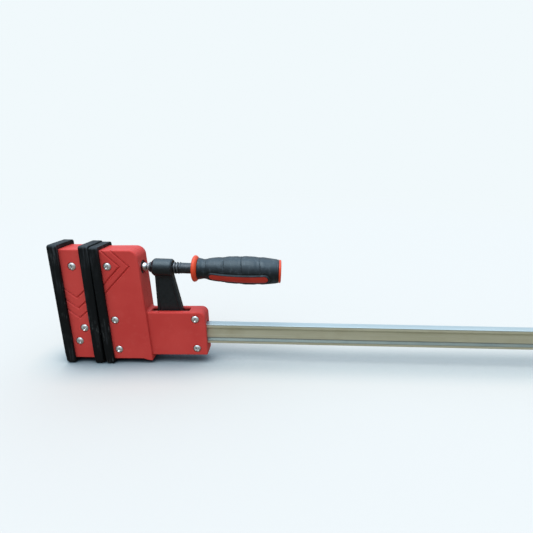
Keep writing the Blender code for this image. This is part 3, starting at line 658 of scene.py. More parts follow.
RED, PAD, RAIL, ZINC, BRIGHT = red_plastic(), pad_plastic(), rail_steel(), zinc(), bright_steel()
OXIDE, BLACK, CAST, BRASS = black_steel(), black_paint(), cast_iron(), dull_brass()
RUBBER, NYLON, FOOT = rubber(), nylon(), foot_plastic()
ORANGE = orange("orange_plastic", (0.61, 0.050, 0.016), (0.67, 0.070, 0.024))
INLAY = orange("orange_inlay", (0.41, 0.024, 0.014), (0.48, 0.033, 0.019))
FIXED, SLIDING, ARM, SPINDLE = "rail_and_fixed_jaw", "sliding_head", "arm", "spindle"


# ------------------------------------------------------------------ rail
def make_rail():
    h, w, t = RAIL_H / 2, 6.5, 4.3
    a, b = h - 4.2, h - 7.6
    pts = [(w, -h), (w, -a), (t, -b), (t, b), (w, a), (w, h), (-w, h), (-w, a), (-t, b), (-t, -b), (-w, -a), (-w, -h)]
    rad = [1.0, 0.7, 2.4, 2.4, 0.7, 0.7, 0.7, 0.7, 2.4, 2.4, 0.7, 1.0]
    sec = rounded(pts, rad, 5)
    rings = []
    for x, d in ((RAIL_LEFT, 0.35), (RAIL_LEFT + 0.1, 0.12), (RAIL_LEFT + 0.35, 0.0)):
        rings.append((x, [(y, z + RAIL_MID) for y, z in inset(sec, d)]))
    n = 24
    for k in range(1, n):
        x = RAIL_LEFT + (RAIL_RIGHT - RAIL_LEFT) * k / n
        rings.append((x, [(y, z + RAIL_MID) for y, z, _ in sec]))
    for x, d in ((RAIL_RIGHT - 0.35, 0.0), (RAIL_RIGHT - 0.1, 0.12), (RAIL_RIGHT, 0.35)):
        rings.append((x, [(y, z + RAIL_MID) for y, z in inset(sec, d)]))
    bm = stack(rings, "X")
    holes = [pin(x, z, SCREW_HOLE, -10, 10, 32) for _, x, z in FIX_SCREWS[1:]]
    holes += [pin(766.0, RAIL_MID, 2.8, -10, 10, 32), pin(783.0, RAIL_MID, 2.3, -10, 10, 32)]
    piece("rail_bar", cut(bm, *holes), CLAMP, FIXED, RAIL, ["rail"])


# ------------------------------------------------------------------ screws
def make_screw_mesh():
    prof = spline([(-2.7, 0.0), (-2.62, 1.3), (-2.2, 3.05), (-1.45, 4.55), (-0.6, 5.22), (-0.1, 5.3)], 5)
    prof += [(0.0, 5.05), (0.0, 2.5), (10.8, 2.5), (11.5, 1.9)]
    head = lathe(prof, 56, 0.0, axis="Y")
    w0, l0, w1, l1 = 0.95, 3.3, 0.55, 1.6

    def cross(w, l):
        c = w * 1.25
        return [(w, l), (-w, l), (-w, c), (-c, w), (-l, w), (-l, -w), (-c, -w), (-w, -c), (-w, -l),
                (w, -l), (w, -c), (c, -w), (l, -w), (l, w), (c, w), (w, c)]
    tool = stack([(-3.6, cross(w0 * 1.15, l0 * 1.12)), (-2.3, cross(w0, l0)), (-0.25, cross(w1, l1))], "Y")
    return cut(head, tool)


SCREW = make_screw_mesh()
TURNS = random.Random(11)


def screws(prefix, places, half, where, body):
    for side, sgn in (("front", -1), ("back", 1)):
        for label, x, z in places:
            bm = SCREW.copy()
            moved(bm, turn=Matrix.Rotation(TURNS.uniform(0, math.pi), 3, "Y"))
            if sgn > 0:
                moved(bm, turn=Matrix.Rotation(math.pi, 3, "Z"))
            moved(bm, (x, sgn * (half - CBORE_DEPTH + GAP), z))
            node = "%s_%s_%s" % (prefix, side, label)
            piece("screw_" + node, bm, where, body, ZINC, [node], 40.0)


def bores(places, half, sgn):
    """Counterbores with a slightly rounded mouth, and the clearance holes."""
    out = []
    face = sgn * half
    for _, x, z in places:
        ring = [(x + CBORE_R * math.cos(2 * math.pi * k / 48), z + CBORE_R * math.sin(2 * math.pi * k / 48), 1e3)
                for k in range(48)]
        out.append(flared(ring, face - sgn * CBORE_DEPTH, face, 0.3, "Y", 2.0, 4))
        out.append(pin(x, z, SCREW_HOLE, face, -sgn * 1.0, 32))
    return out


def vee(points, sgn, half, width=3.2, depth=0.9):
    """Cutter for a V groove along points (x, z) in a side face."""
    over = 0.4
    k = (depth + over) / depth
    pts = [Vector(p) for p in points]
    rows = []
    for i, p in enumerate(pts):
        a = (p - pts[i - 1]).normalized() if i else (pts[1] - p).normalized()
        b = (pts[i + 1] - p).normalized() if i + 1 < len(pts) else a
        na, nb = Vector((-a.y, a.x)), Vector((-b.y, b.x))
        m = (na + nb).normalized()
        w = width / 2 * k / max(0.3, m.dot(na))
        rows.append((p + m * w, p, p - m * w))
    bm = bmesh.new()
    y_top, y_bot = sgn * (half + over), sgn * (half - depth)
    vs = [[bm.verts.new((l.x, y_top, l.y)), bm.verts.new((c.x, y_bot, c.y)), bm.verts.new((r.x, y_top, r.y))]
          for l, c, r in rows]
    for r0, r1 in zip(vs, vs[1:]):
        for j in range(3):
            bm.faces.new((r0[j], r0[(j + 1) % 3], r1[(j + 1) % 3], r1[j]))
    bm.faces.new(vs[0])
    bm.faces.new(vs[-1])
    return orient(bm)


# ------------------------------------------------------------------ pads
def pad(x_face, x_back, z0, z1, house, window):
    """Moulded tray that wraps the jaw, with rounded ends."""
    pts = [(-PAD_HALF, z0), (PAD_HALF, z0), (PAD_HALF, z1), (-PAD_HALF, z1)]
    out = rounded(pts, [4.4, 4.4, 3.6, 3.6], 10)
    # more points up the long sides, so the rims can widen towards the foot
    dense = []
    n = len(out)
    for i in range(n):
        a, b = out[i], out[(i + 1) % n]
        dense.append(a)
        d = math.hypot(b[0] - a[0], b[1] - a[1])
        if d > 30:
            m = 14
            dense += [(a[0] + (b[0] - a[0]) * k / m, a[1] + (b[1] - a[1]) * k / m, 1e3) for k in range(1, m)]
    # short runs near the bottom
    def rim(q, small, big):
        t = min(1.0, max(0.0, (z0 + 12.0 - q[1]) / 12.0))
        t = t * t * (3 - 2 * t)
        return small + (big - small) * t
    e_face = [rim(q, 1.2, 3.6) for q in dense]
    e_back = [rim(q, 0.8, 3.2) for q in dense]
    bm = soft_prism(dense, x_face, x_back, e_face, e_back, "X", 6)
    s = 1.0 if x_back > x_face else -1.0
    inner = JAW_HALF + GAP
    zi0, zi1 = house[0] - GAP, house[1] + GAP
    pocket = flared([(-inner, zi0, 0.0), (inner, zi0, 0.0), (inner, zi1, 0.0), (-inner, zi1, 0.0)],
                    x_face + s * PAD_PLATE, x_back, 0.5, "X", 3.0, 4)
    tools = [pocket]
    if window is not None:
        w, a, b = window
        ring = rounded([(-w, a), (w, a), (w, b), (-w, b)], [1.0] * 4, 4)
        tools.append(stack([(x_face - s * 3, inset(ring, -0.4)), (x_face + s * 0.01, inset(ring, -0.4)),
                            (x_face + s * 0.4, inset(ring, 0.0)), (x_back + s * 3, inset(ring, 0.0))], "X"))
    return cut(bm, *tools)


def make_pads():
    piece("pad_outer", pad(FIX_OUT, FIX_OUT + FIX_PAD_T, 0.0, OUTER_TOP, (FIX_Z0, FIX_Z1), None),
          CLAMP, FIXED, PAD, ["outer_pad"])
    piece("pad_fixed_face", pad(FIX_FACE, FIX_FACE - FIX_PAD_T, 0.0, FACE_TOP, (FIX_Z0, FIX_Z1),
                                (7.1, RAIL_Z - 0.6, RAIL_Z + RAIL_H + 0.6)),
          CLAMP, FIXED, PAD, ["fixed_face_pad"])
    piece("pad_head_face", pad(HEAD_FACE, HEAD_FACE + PAD_T, 1.3, HEAD_TOP, (HEAD_Z0, HEAD_Z1),
                               (7.1, WIN_Z0, WIN_Z1)),
          HEAD, SLIDING, PAD, ["head_face_pad"])


# ------------------------------------------------------------------ fixed jaw housings
def make_fixed_jaw():
    xa, xb = FIX_OUT + PAD_PLATE + GAP, FIX_FACE - PAD_PLATE - GAP
    outline = rounded([(xa, FIX_Z0), (xb, FIX_Z0), (xb, FIX_Z1), (xa, FIX_Z1)], [2.0] * 4, 6)
    sgn = -1
    bm = soft_prism(outline, sgn * SPLIT, sgn * JAW_HALF, 0.3, 1.7, "Y", 6)
    cav = box(xa + WALL, xb - WALL, sgn * (JAW_HALF - WALL), -sgn * 2, FIX_Z0 + WALL, FIX_Z1 - WALL)
    _, sx, sz = FIX_SCREWS[0]
    cav = cut(cav, pin(sx, sz, 7.0, sgn * (JAW_HALF + 1), sgn * 5.3, 32))
    tools = [cav, box(xb - WALL - 2, xb + 3, sgn * 7.1, -sgn * 2, RAIL_Z - 0.5, RAIL_Z + RAIL_H + 0.5)]
    tools += bores(FIX_SCREWS, JAW_HALF, sgn)
    for z in (100.2, 84.5, 70.0):
        rise = math.tan(math.radians(40.0))
        tools.append(vee([(-44.0, z + (44.0 - 25.5) * rise), (-25.5, z), (-7.0, z + (25.5 - 7.0) * rise)],
                         sgn, JAW_HALF, 3.0, 1.8))
    bm = cut(bm, *tools)
    back = mirrored(bm)
    piece("fixed_housing_front", bm, CLAMP, FIXED, RED, ["fixed_shell_front"])
    piece("fixed_housing_back", back, CLAMP, FIXED, RED, ["fixed_shell_back"])
    screws("fixed_screw", FIX_SCREWS, JAW_HALF, CLAMP, FIXED)


# ------------------------------------------------------------------ sliding head housings
def rear_x(z):
    t = (z - HEAD_Z0) / (HEAD_Z1 - HEAD_Z0)
    return HEAD_REAR_LO + (HEAD_REAR_HI - HEAD_REAR_LO) * t


def make_head():
    sgn = -1
    xa = HEAD_FACE + PAD_PLATE + GAP
    jaw = rounded([(xa, HEAD_Z0), (57.5, HEAD_Z0), (66.0, 4.6), (HEAD_REAR_LO + 0.1, 4.6),
                   (HEAD_REAR_HI, HEAD_Z1), (xa, HEAD_Z1)], [2.0, 9.0, 5.0, 1.1, 12.0, 2.0], 10)
    jaw_bm = soft_prism(jaw, -sgn * 1.0, sgn * JAW_HALF, 0.3, 1.9, "Y", 6)
    foot_x = rear_x(BODY_Z1)
    body = rounded([(50.0, BODY_Z0), (BODY_X1, BODY_Z0), (BODY_X1 - 0.6, BODY_Z1),
                    (foot_x + 0.2, BODY_Z1), (rear_x(95.0) - 0.6, 95.0), (50.0, 95.0)],
                   [0, 2.4, 9.0, 4.5, 0, 0], 10)
    body_bm = soft_prism(body, -sgn * 1.6, sgn * BODY_HALF, 0.3, 1.9, "Y", 6)
    bm = cut(join(jaw_bm, body_bm), box(-20, 180, -sgn * 4, sgn * SPLIT, -10, 190))

    hollow = prism([(xa + WALL, HEAD_Z0 + WALL), (rear_x(10) - WALL - 0.4, HEAD_Z0 + WALL),
                    (rear_x(157) - WALL - 0.4, 157.0), (rear_x(157) - WALL - 8.4, HEAD_Z1 - WALL),
                    (xa + WALL, HEAD_Z1 - WALL)], sgn * (JAW_HALF - WALL), -sgn * 2)
    _, sx, sz = JAW_SCREWS[0]
    hollow = cut(hollow, pin(sx, sz, 7.0, sgn * (JAW_HALF + 1), sgn * 5.3, 32))
    hollow2 = prism([(52.0, BODY_Z0 + WALL), (BODY_X1 - WALL - 0.3, BODY_Z0 + WALL),
                     (BODY_X1 - WALL - 0.6, 70.0), (142.0, BODY_Z1 - WALL), (52.0, BODY_Z1 - WALL)],
                    sgn * (BODY_HALF - WALL + 0.3), -sgn * 2)
    ring = rounded([(SLOT_X0, -SLOT_HALF), (SLOT_X1, -SLOT_HALF), (SLOT_X1, SLOT_HALF), (SLOT_X0, SLOT_HALF)],
                   [1.6] * 4, 6)
    slot = flared(ring, BODY_Z1 - 6, BODY_Z1, 0.7, "Z", 2.0, 5)
    win = rounded([(-WIN_HALF, WIN_Z0), (WIN_HALF, WIN_Z0), (WIN_HALF, WIN_Z1), (-WIN_HALF, WIN_Z1)], [1.0] * 4, 4)
    rear_win = flared(win, 60.0, BODY_X1 - 0.3, 0.6, "X", 3.0, 4)
    face_win = box(xa - 3, 62.0, sgn * WIN_HALF, -sgn * 2, WIN_Z0, WIN_Z1)
    # round recess for the ball tip, with a rounded mouth in the leaning rear face
    bx, bz = ball_in_head()
    face_p = rear_x(bz) - bx
    prof = [(-16.0, 9.7)] + [(face_p - 1.0 + 1.0 * math.sin(t), 9.7 + 1.0 * (1 - math.cos(t)))
                             for t in [math.radians(v) for v in (0, 18, 36, 54, 72, 90)]]
    prof += [(face_p + 14.0, 10.7)]
    recess = moved(moved(lathe(prof, 64, math.pi / 64), turn=SEAT_TURN), (bx, 0, bz))
    # chevrons: two V grooves pointing towards the handle
    marks = []
    for apex, z in ((40.8, 146.3), (53.8, 146.3)):
        up = HEAD_Z1 + 3.0 - z
        down = apex - 12.0
        marks.append(vee([(apex - up, z + up), (apex, z), (apex - down, z - down)], sgn, JAW_HALF, 3.1, 1.9))
    bm = cut(bm, hollow, hollow2, slot, rear_win, face_win, recess, *marks,
             *bores(JAW_SCREWS, JAW_HALF, sgn), *bores(BODY_SCREWS, BODY_HALF, sgn))
    back = mirrored(bm)
    piece("head_housing_front", bm, HEAD, SLIDING, RED, ["head_shell_front"])
    piece("head_housing_back", back, HEAD, SLIDING, RED, ["head_shell_back"])
    screws("jaw_screw", JAW_SCREWS, JAW_HALF, HEAD, SLIDING)
    screws("body_screw", BODY_SCREWS, BODY_HALF, HEAD, SLIDING)


# ------------------------------------------------------------------ arm
def make_arm():
    sp = to_spindle
    stem = rounded([sp(81.4, 133.0), sp(81.4, 60.0), sp(117.4, 60.0), sp(117.4, 76.0), sp(105.7, 133.0)],
                   [0, 0, 0, 14.0, 0], 8)
    stem_bm = soft_prism(stem, -5.0, 5.0, 0.9, 0.9, "Y", 3)
    web = rounded([sp(84.6, 128.0), sp(84.7, 66.0), sp(114.0, 66.0), sp(113.4, 79.0), sp(103.3, 128.0)],
                  [2.0, 2.0, 2.0, 6.0, 2.0], 6)
    tools = [stack([(s * 3.6, inset(web, 0.9)), (s * 9.0, inset(web, -1.1))], "Y") for s in (-1, 1)]
    stem_bm = cut(stem_bm, *tools)
    loop = rounded([sp(80.4, 19.5), sp(118.5, 19.5), sp(118.5, 62.6), sp(80.3, 62.6)], [3.0] * 4, 5)
    loop_bm = soft_prism(loop, -9.5, 9.5, 1.2, 1.2, "Y", 4)
    prof = spline([(12.0, 8.9), (13.4, 10.3), (15.0, 11.7), (16.4, 12.25)], 5) + \
        spline([(17.2, 12.3), (37.2, 12.3), (38.6, 12.1), (39.8, 11.5), (40.6, 10.9), (40.8, 10.5)], 4)
    collar = lathe(prof, 96, math.pi / 96)
    bm = join(stem_bm, loop_bm, collar)
    lx0, lx1 = sp(70, RAIL_Z - 1.2), sp(130, RAIL_Z - 1.2)
    window = prism([lx0, lx1, sp(130, RAIL_Z + RAIL_H + 1.0), sp(70, RAIL_Z + RAIL_H + 1.0)], -7.0, 7.0)
    bm = cut(bm, window)
    bm = remeshed(bm, 0.42, 5)
    bm = cut(bm, bar(5, 50, 8.6, 96), bar(15.6, 50, 10.3, 96))
    piece("arm_casting", bm, SPIN, ARM, BLACK, ["arm_lever"], 45.0, False)


# ------------------------------------------------------------------ spindle
def smooth01(x):
    x = np.clip(x, 0.0, 1.0)
    return x * x * (3 - 2 * x)


def surface(ps, radius, n):
    """Closed turned body with a radius that may change round the axis: radius(p, angle)."""
    bm = bmesh.new()
    rings = []
    for p in ps:
        rings.append([bm.verts.new((p, radius(p, 2 * math.pi * k / n) * math.cos(2 * math.pi * k / n),
                                    radius(p, 2 * math.pi * k / n) * math.sin(2 * math.pi * k / n)))
                      for k in range(n)])
    for a, b in zip(rings, rings[1:]):
        for k in range(n):
            j = (k + 1) % n
            bm.faces.new((a[k], a[j], b[j], b[k]))
    bm.faces.new(rings[0])
    bm.faces.new(rings[-1])
    return orient(bm)


def make_spindle():
    root, crest = 6.3, 8.1
    neck = spline([(5.9, 3.8), (6.0, 4.8), (6.5, 5.25), (7.4, 5.35), (8.4, 5.45), (8.62, 5.6)], 3)
    ring = [(8.7, 6.6), (8.95, 6.98), (9.3, 7.1), (10.8, 7.1), (11.15, 6.98), (11.4, 6.6), (11.5, 6.1), (12.3, 6.0)]

    def thread(p, ang):
        fade = 1.0 - float(smooth01((p - 50.0) / 3.5))
        u = (p / PITCH - ang / (2 * math.pi)) % 1.0
        d = abs(u - 0.5) * 2.0                    # 0 on the crest's middle, 1 in the root's middle
        tooth = float(smooth01((0.74 - d) / 0.34))
        r = SHANK_R + (root + (crest - root) * tooth - SHANK_R) * fade
        return min(r, 6.0 + 1.3 * (p - 12.3))
    table = neck + ring

    def radius(p, ang):
        if p <= 12.3:
            return float(np.interp(p, [a for a, _ in table], [b for _, b in table]))
        return thread(p, ang)
    ps = [a for a, _ in table]
    p = 12.5
    while p < 54.5:
        ps.append(p)
        p += 0.2
    ps += [56, 60, 65, 70, 76.5]
    bm = surface(ps, radius, 80)
    tang = lathe([(74.0, 5.4), (150.0, 5.4), (150.6, 5.1), (151.0, 4.6)], 48)
    bm = join(bm, tang)
    bm = cut(bm, bar(0, 21.0, 2.8, 32), pin(84.0, 0, 1.8, -12, 12, 32))
    ob = piece("spindle_screw", bm, SPIN, SPINDLE, OXIDE, ["spindle"], 40.0)
    # the neck is turned bright, and the nut rubs the crests
    inv = SPIN.inverted()
    wear = ob.data.attributes.new("wear", "FLOAT", "POINT")
    vals = []
    for v in ob.data.vertices:
        q = inv @ v.co
        r = math.hypot(q.y, q.z)
        if q.x < 8.66:
            vals.append(1.0)
        elif 12.4 < q.x < 52.5:
            vals.append(float(smooth01((r - 7.8) / 0.3)) * 0.14)
        else:
            vals.append(0.0)
    wear.data.foreach_set("value", vals)
    # ball tip: spigot, ball, stem and clip groove
    ball = [(-BALL_R * math.cos(math.radians(a)), BALL_R * math.sin(math.radians(a)))
            for a in np.linspace(34, 152, 26)]
    prof = [(-21.0, 2.0), (-20.6, 2.7), (-20.2, 2.9), (-18.6, 2.9), (-18.5, 2.2), (-16.9, 2.2), (-16.8, 3.4)]
    prof += [(-5.3, 3.4)] + ball + [(5.6, 2.5), (19.9, 2.5), (20.5, 2.0)]
    piece("ball_tip", lathe(prof, 72), SPIN, SPINDLE, BRIGHT, ["spindle_tip"], 35.0)


# ------------------------------------------------------------------ handle
def grip_base(p):
    xs = [a for a, _ in GRIP]
    rs = [b for _, b in GRIP]
    fine = spline(list(zip(xs, rs)), 10)
    return np.interp(p, [a for a, _ in fine], [b for _, b in fine])


def along(p):
    return float(np.clip((p - INLAY_P0) / (INLAY_P1 - INLAY_P0), 0.0, 1.0))


def inlay_width(p):
    """Half width of the strip, which tapers towards the spindle."""
    return INLAY_W - 0.85 * (1.0 - along(p)) ** 1.3


def inlay_twist(p):
    """The strip winds slightly round the handle."""
    return math.radians(4.0) * (1.0 - along(p))


INLAY_MID = (INLAY_P0 + 1.4 + INLAY_P1) / 2
INLAY_RUN = (INLAY_P1 - INLAY_P0 - 1.4) / 2 - INLAY_W


def capsule_distance(p, phi, base):
    """Signed distance along the surface to the edge of the nearer inlay; phi is from its middle."""
    s = base * (phi - inlay_twist(p))
    return np.hypot(np.maximum(np.abs(p - INLAY_MID) - INLAY_RUN, 0.0), s) - inlay_width(p)


def bump_at(x, a, b):
    """Smooth hill between a and b."""
    m, h = (a + b) / 2, (b - a) / 2
    t = np.clip(1 - np.abs(x - m) / h, 0, 1)
    return t * t * (3 - 2 * t)


def make_handle():
    # collar in front of the grip, with its rounded rim and flat face
    prof = [(68.6, 8.0), (68.6, 15.3)] + arc(69.6, 15.7, 1.0, 170, 130, 3)
    prof += spline([(69.2, 17.0), (70.0, 17.95), (71.2, 18.35), (72.6, 18.15), (73.8, 17.4), (74.8, 16.2),
                    (75.4, 15.1), (75.5, 14.6)], 5)
    prof += [(75.5, 8.0), (75.2, 7.7), (68.9, 7.7)]
    piece("handle_ring", tube(prof, 120), SPIN, SPINDLE, ORANGE, ["handle_collar"], 40.0)

    # rubber sleeve: a surface whose radius changes along and round the handle
    roll = math.pi + HANDLE_ROLL                 # angle of the front inlay's middle, from +y towards +q
    end = GRIP[-1][0]
    n = 260
    ps = list(np.arange(75.8, end - 0.2, 0.45)) + [end - 0.15, end]
    phis = np.arange(n) * 2 * math.pi / n
    rel = (phis - roll + math.pi) % (2 * math.pi) - math.pi         # from the front inlay
    near = np.where(np.abs(rel) < math.pi / 2, rel, (rel + 2 * math.pi) % (2 * math.pi) - math.pi)
    side = np.degrees(np.abs(near))              # 0 at an inlay's middle, 90 midway between the inlays
    top = np.degrees(np.abs((phis - math.pi / 2 + math.pi) % (2 * math.pi) - math.pi))
    low = np.degrees(np.abs((phis + math.pi / 2 + math.pi) % (2 * math.pi) - math.pi))
    grid = []
    for p in ps:
        base = float(grip_base(p))
        d = capsule_distance(p, near, base)
        r = np.full(n, base)
        window = smooth01((side - 22.0) / 10.0)
        clear = smooth01((d - 3.2) / 2.0)
        # narrow moulded grooves with soft shoulders between the finger bands
        for pk, depth in ((87.6, 0.35), (112.1, 0.65), (135.9, 0.65), (160.8, 0.6)):
            c = pk - 0.035 * (side - 60.0)
            r -= depth * bump_at(p, c - 0.95, c + 0.95) * window * clear
            # each band is fullest just behind its groove and falls away to the next
            r -= 0.50 * bump_at(p, c - 8.5, c + 1.6) * window * clear
            r += 0.16 * bump_at(p, c + 0.8, c + 9.0) * window * clear
        # the thumb strips along the top and the bottom are a little flatter than the sides
        for a in (top, low):
            flat = np.clip(1.0 - a / 33.0, 0.0, 1.0)
            r -= 0.75 * flat * float(smooth01((p - 96.0) / 14.0)) * float(smooth01((186.0 - p) / 8.0))
        r -= 0.45 * float(bump_at(p, 183.6, 185.2))                      # step before the end
        r += 0.62 * bump_at(d, -0.2, 1.8)        # lip round the inlay
        r -= 0.70 * bump_at(d, 1.5, 4.6)         # channel outside the lip
        r -= 1.75 * smooth01((0.25 - d) / 0.5)   # pocket that the inlay sits in
        e = min(1.0, (p - 75.8) / 0.9)           # rounded ends
        r -= 0.9 * (1 - math.sqrt(max(0.0, 1 - (1 - e) ** 2)))
        e = min(1.0, (end - p) / 0.9)
        r -= 0.9 * (1 - math.sqrt(max(0.0, 1 - (1 - e) ** 2)))
        grid.append(r)
    bm = bmesh.new()
    cos, sin = np.cos(phis), np.sin(phis)
    outer = [[bm.verts.new((p, r[k] * cos[k], r[k] * sin[k])) for k in range(n)] for p, r in zip(ps, grid)]
    inner = []
    for p, rp in reversed(GRIP):
        inner.append([bm.verts.new((p, (rp - 2.3) * cos[k], (rp - 2.3) * sin[k])) for k in range(n)])
    rings = outer + inner
    for i in range(len(rings)):
        a, b = rings[i], rings[(i + 1) % len(rings)]
        for k in range(n):
            j = (k + 1) % n
            bm.faces.new((a[k], a[j], b[j], b[k]))
    orient(bm)
    piece("grip_rubber_sleeve", bm, SPIN, SPINDLE, RUBBER, ["grip_sleeve"], 55.0, False)

    # two inlays, flush in their pockets
    mid, run = INLAY_MID, INLAY_RUN
    for label, centre in (("front", roll), ("back", roll + math.pi)):
        rows = []
        m = 20
        half = inlay_width(mid - run) - 0.25
        for a in np.linspace(-89, -10, 12):
            rows.append((mid - run + half * math.sin(math.radians(a)), half * math.cos(math.radians(a))))
        for p in np.linspace(mid - run, mid + run, 60):
            rows.append((p, inlay_width(p) - 0.1 - 0.15 * max(0.0, 1 - (p - mid + run) / 6.0)))
        half = inlay_width(mid + run) - 0.1
        for a in np.linspace(10, 89, 12):
            rows.append((mid + run + half * math.sin(math.radians(a)), half * math.cos(math.radians(a))))
        bm = bmesh.new()
        top, bottom = [], []
        for p, w in rows:
            base = float(grip_base(p))
            for layer, level in ((top, 1), (bottom, 0)):
                line = []
                for k in range(m + 1):
                    s = w * math.sin(math.pi / 2 * (2 * k / m - 1))
                    ang = centre + inlay_twist(p) + s / base
                    d = -float(capsule_distance(p, inlay_twist(p) + s / base, base)) - 0.1
                    edge = max(0.0, 1 - d / 0.9)
                    r = base - 0.05 - 0.55 * (1 - math.sqrt(max(0.0, 1 - edge * edge))) if level else base - 1.4
                    line.append(bm.verts.new((p, r * math.cos(ang), r * math.sin(ang))))
                layer.append(line)
        for g in (top, bottom):
            for a, b in zip(g, g[1:]):
                for k in range(m):
                    bm.faces.new((a[k], a[k + 1], b[k + 1], b[k]))
        for a, b in zip(range(len(rows) - 1), range(1, len(rows))):
            for k in (0, m):
                bm.faces.new((top[a][k], top[b][k], bottom[b][k], bottom[a][k]))
        for i in (0, -1):
            for k in range(m):
                bm.faces.new((top[i][k], top[i][k + 1], bottom[i][k + 1], bottom[i][k]))
        orient(bm)
        piece("inlay_" + label, bm, SPIN, SPINDLE, INLAY, ["grip_inlay_" + label], 50.0)

    prof = [(186.6, 0.0), (186.6, 15.6), (186.75, 15.85), (187.0, 15.95), (187.9, 15.95)]
    prof += arc(188.1, 14.45, 1.5, 82, 12, 6)
    prof += [(189.75, 13.4), (189.8, 12.2), (189.7, 11.6), (189.45, 11.3), (189.4, 0.0)]
    piece("handle_end_disc", lathe(prof, 120), SPIN, SPINDLE, ORANGE, ["end_cap"], 40.0)


# ------------------------------------------------------------------ far end of the rail
def make_rail_end():
    pts = [(-12.0, 0.0), (12.0, 0.0), (12.0, 64.0), (-12.0, 64.0)]
    out = rounded(pts, [2.5, 2.5, 4.0, 4.0], 6)
    bm = soft_prism(out, 772.0, 796.0, 1.0, 2.2, "X", 5)
    w = 6.8
    socket = flared([(-w, RAIL_Z - GAP, 0.0), (w, RAIL_Z - GAP, 0.0), (w, RAIL_Z + RAIL_H + GAP, 0.0),
                     (-w, RAIL_Z + RAIL_H + GAP, 0.0)], 790.3, 772.0, 0.6, "X", 3.0, 4)
    arch = rounded([(777.0, -3.0), (791.0, -3.0), (791.0, 18.0), (777.0, 18.0)], [0, 0, 5, 5], 8)
    arch_bm = stack([(-20, inset(arch, 0.0)), (20, inset(arch, 0.0))], "Y")
    ring = [(783.0 + 4.6 * math.cos(2 * math.pi * k / 48), RAIL_MID + 4.6 * math.sin(2 * math.pi * k / 48), 1e3)
            for k in range(48)]
    tools = [socket, arch_bm, pin(783.0, RAIL_MID, 2.3, -20, 20, 32), flared(ring, -10.6, -12.0, 0.4, "Y", 2.0, 4)]
    for s in (-1, 1):
        for z in (27.0, 61.2):
            tools.append(vee([(765.0, z), (800.0, z)], s, 12.0, 1.6, 0.7))
    piece("rail_foot_block", cut(bm, *tools), CLAMP, FIXED, FOOT, ["rail_foot"])
    prof = spline([(-2.0, 0.0), (-1.95, 1.0), (-1.5, 2.9), (-0.7, 3.9), (-0.1, 4.1)], 5)
    prof += [(0.0, 4.0), (0.0, 2.0), (17.0, 2.0), (17.6, 1.4)]
    head = lathe(prof, 48, 0.0, axis="Y")

    def cross(w, l):
        return [(w, l), (-w, l), (-w, w), (-l, w), (-l, -w), (-w, -w), (-w, -l), (w, -l), (w, -w), (l, -w), (l, w), (w, w)]
    head = cut(head, stack([(-3.0, cross(0.55, 2.3)), (-0.5, cross(0.3, 1.0))], "Y"))
    moved(head, turn=Matrix.Rotation(0.5, 3, "Y"))
    piece("foot_fixing_screw", moved(head, (783.0, -10.9, RAIL_MID)), CLAMP, FIXED, ZINC, ["foot_screw"], 40.0)
    prof = [(-10.0, 1.9)] + arc(-9.5, 2.0, 0.5, 170, 95, 3) + arc(9.5, 2.0, 0.5, 85, 10, 3) + [(10.0, 1.9)]
    stop = moved(lathe(prof, 40, 0.0, axis="Y"), (766.0, 0, RAIL_MID))
    piece("stop_dowel", stop, CLAMP, FIXED, OXIDE, ["stop_pin"], 40.0)


make_rail()
make_pads()
make_fixed_jaw()
make_head()
make_arm()
make_spindle()
make_handle()
make_rail_end()

# pieces inside, and at the ends of bores, keep their own solids
for node, mat in (("fixed_jaw_casting", CAST), ("head_casting", CAST), ("thrust_seat", CAST),
                  ("tip_clip", ZINC), ("thread_bush", BRASS), ("grip_core", NYLON), ("handle_pin", ZINC)):
    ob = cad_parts[node]
    for s in ob.material_slots:
        s.material = mat

# ------------------------------------------------------------------ floor
SKY = (0.879, 0.947, 0.973)                  # the pale surround
SEEN = (0.552, 0.562, 0.560)                 # floor as the camera sees it
BOUNCE = (0.30, 0.275, 0.23)                 # floor as the pieces see it, a warm workshop floor
fm = bpy.data.materials.new("floor")
fm.use_nodes = True
nt = fm.node_tree
bsdf = nt.nodes["Principled BSDF"]
bsdf.inputs["Roughness"].default_value = 0.95
bsdf.inputs["Specular IOR Level"].default_value = 0.0
near = nt.nodes.new("ShaderNodeAmbientOcclusion")     # painted shadow: ambient occlusion darkens the floor's colour bluish close to the clamp
near.samples = 8
near.inputs["Distance"].default_value = 0.06
floor_painted_shadow = nt.nodes.new("ShaderNodeValToRGB")
for at, rgb in ((0.18, (0.028, 0.048, 0.062)), (0.45, (0.130, 0.182, 0.215)), (0.68, (0.33, 0.400, 0.440)),
                (0.86, (0.470, 0.512, 0.528))):
    stop = floor_painted_shadow.color_ramp.elements.new(at)
    stop.color = (*rgb, 1.0)
floor_painted_shadow.color_ramp.elements[0].color = (0.015, 0.027, 0.035, 1.0)
floor_painted_shadow.color_ramp.elements[-1].color = (*SEEN, 1.0)
nt.links.new(near.outputs["AO"], floor_painted_shadow.inputs["Fac"])
nt.links.new(floor_painted_shadow.outputs["Color"], bsdf.inputs["Base Color"])
bounce = nt.nodes.new("ShaderNodeBsdfDiffuse")
bounce.inputs["Color"].default_value = (*BOUNCE, 1.0)
path = nt.nodes.new("ShaderNodeLightPath")
sheen = nt.nodes.new("ShaderNodeBsdfDiffuse")
sheen.inputs["Color"].default_value = (*[v * 0.42 for v in BOUNCE], 1.0)
under = nt.nodes.new("ShaderNodeMixShader")
nt.links.new(path.outputs["Is Glossy Ray"], under.inputs["Fac"])
nt.links.new(bounce.outputs["BSDF"], under.inputs[1])
nt.links.new(sheen.outputs["BSDF"], under.inputs[2])
ground = nt.nodes.new("ShaderNodeMixShader")
nt.links.new(path.outputs["Is Camera Ray"], ground.inputs["Fac"])
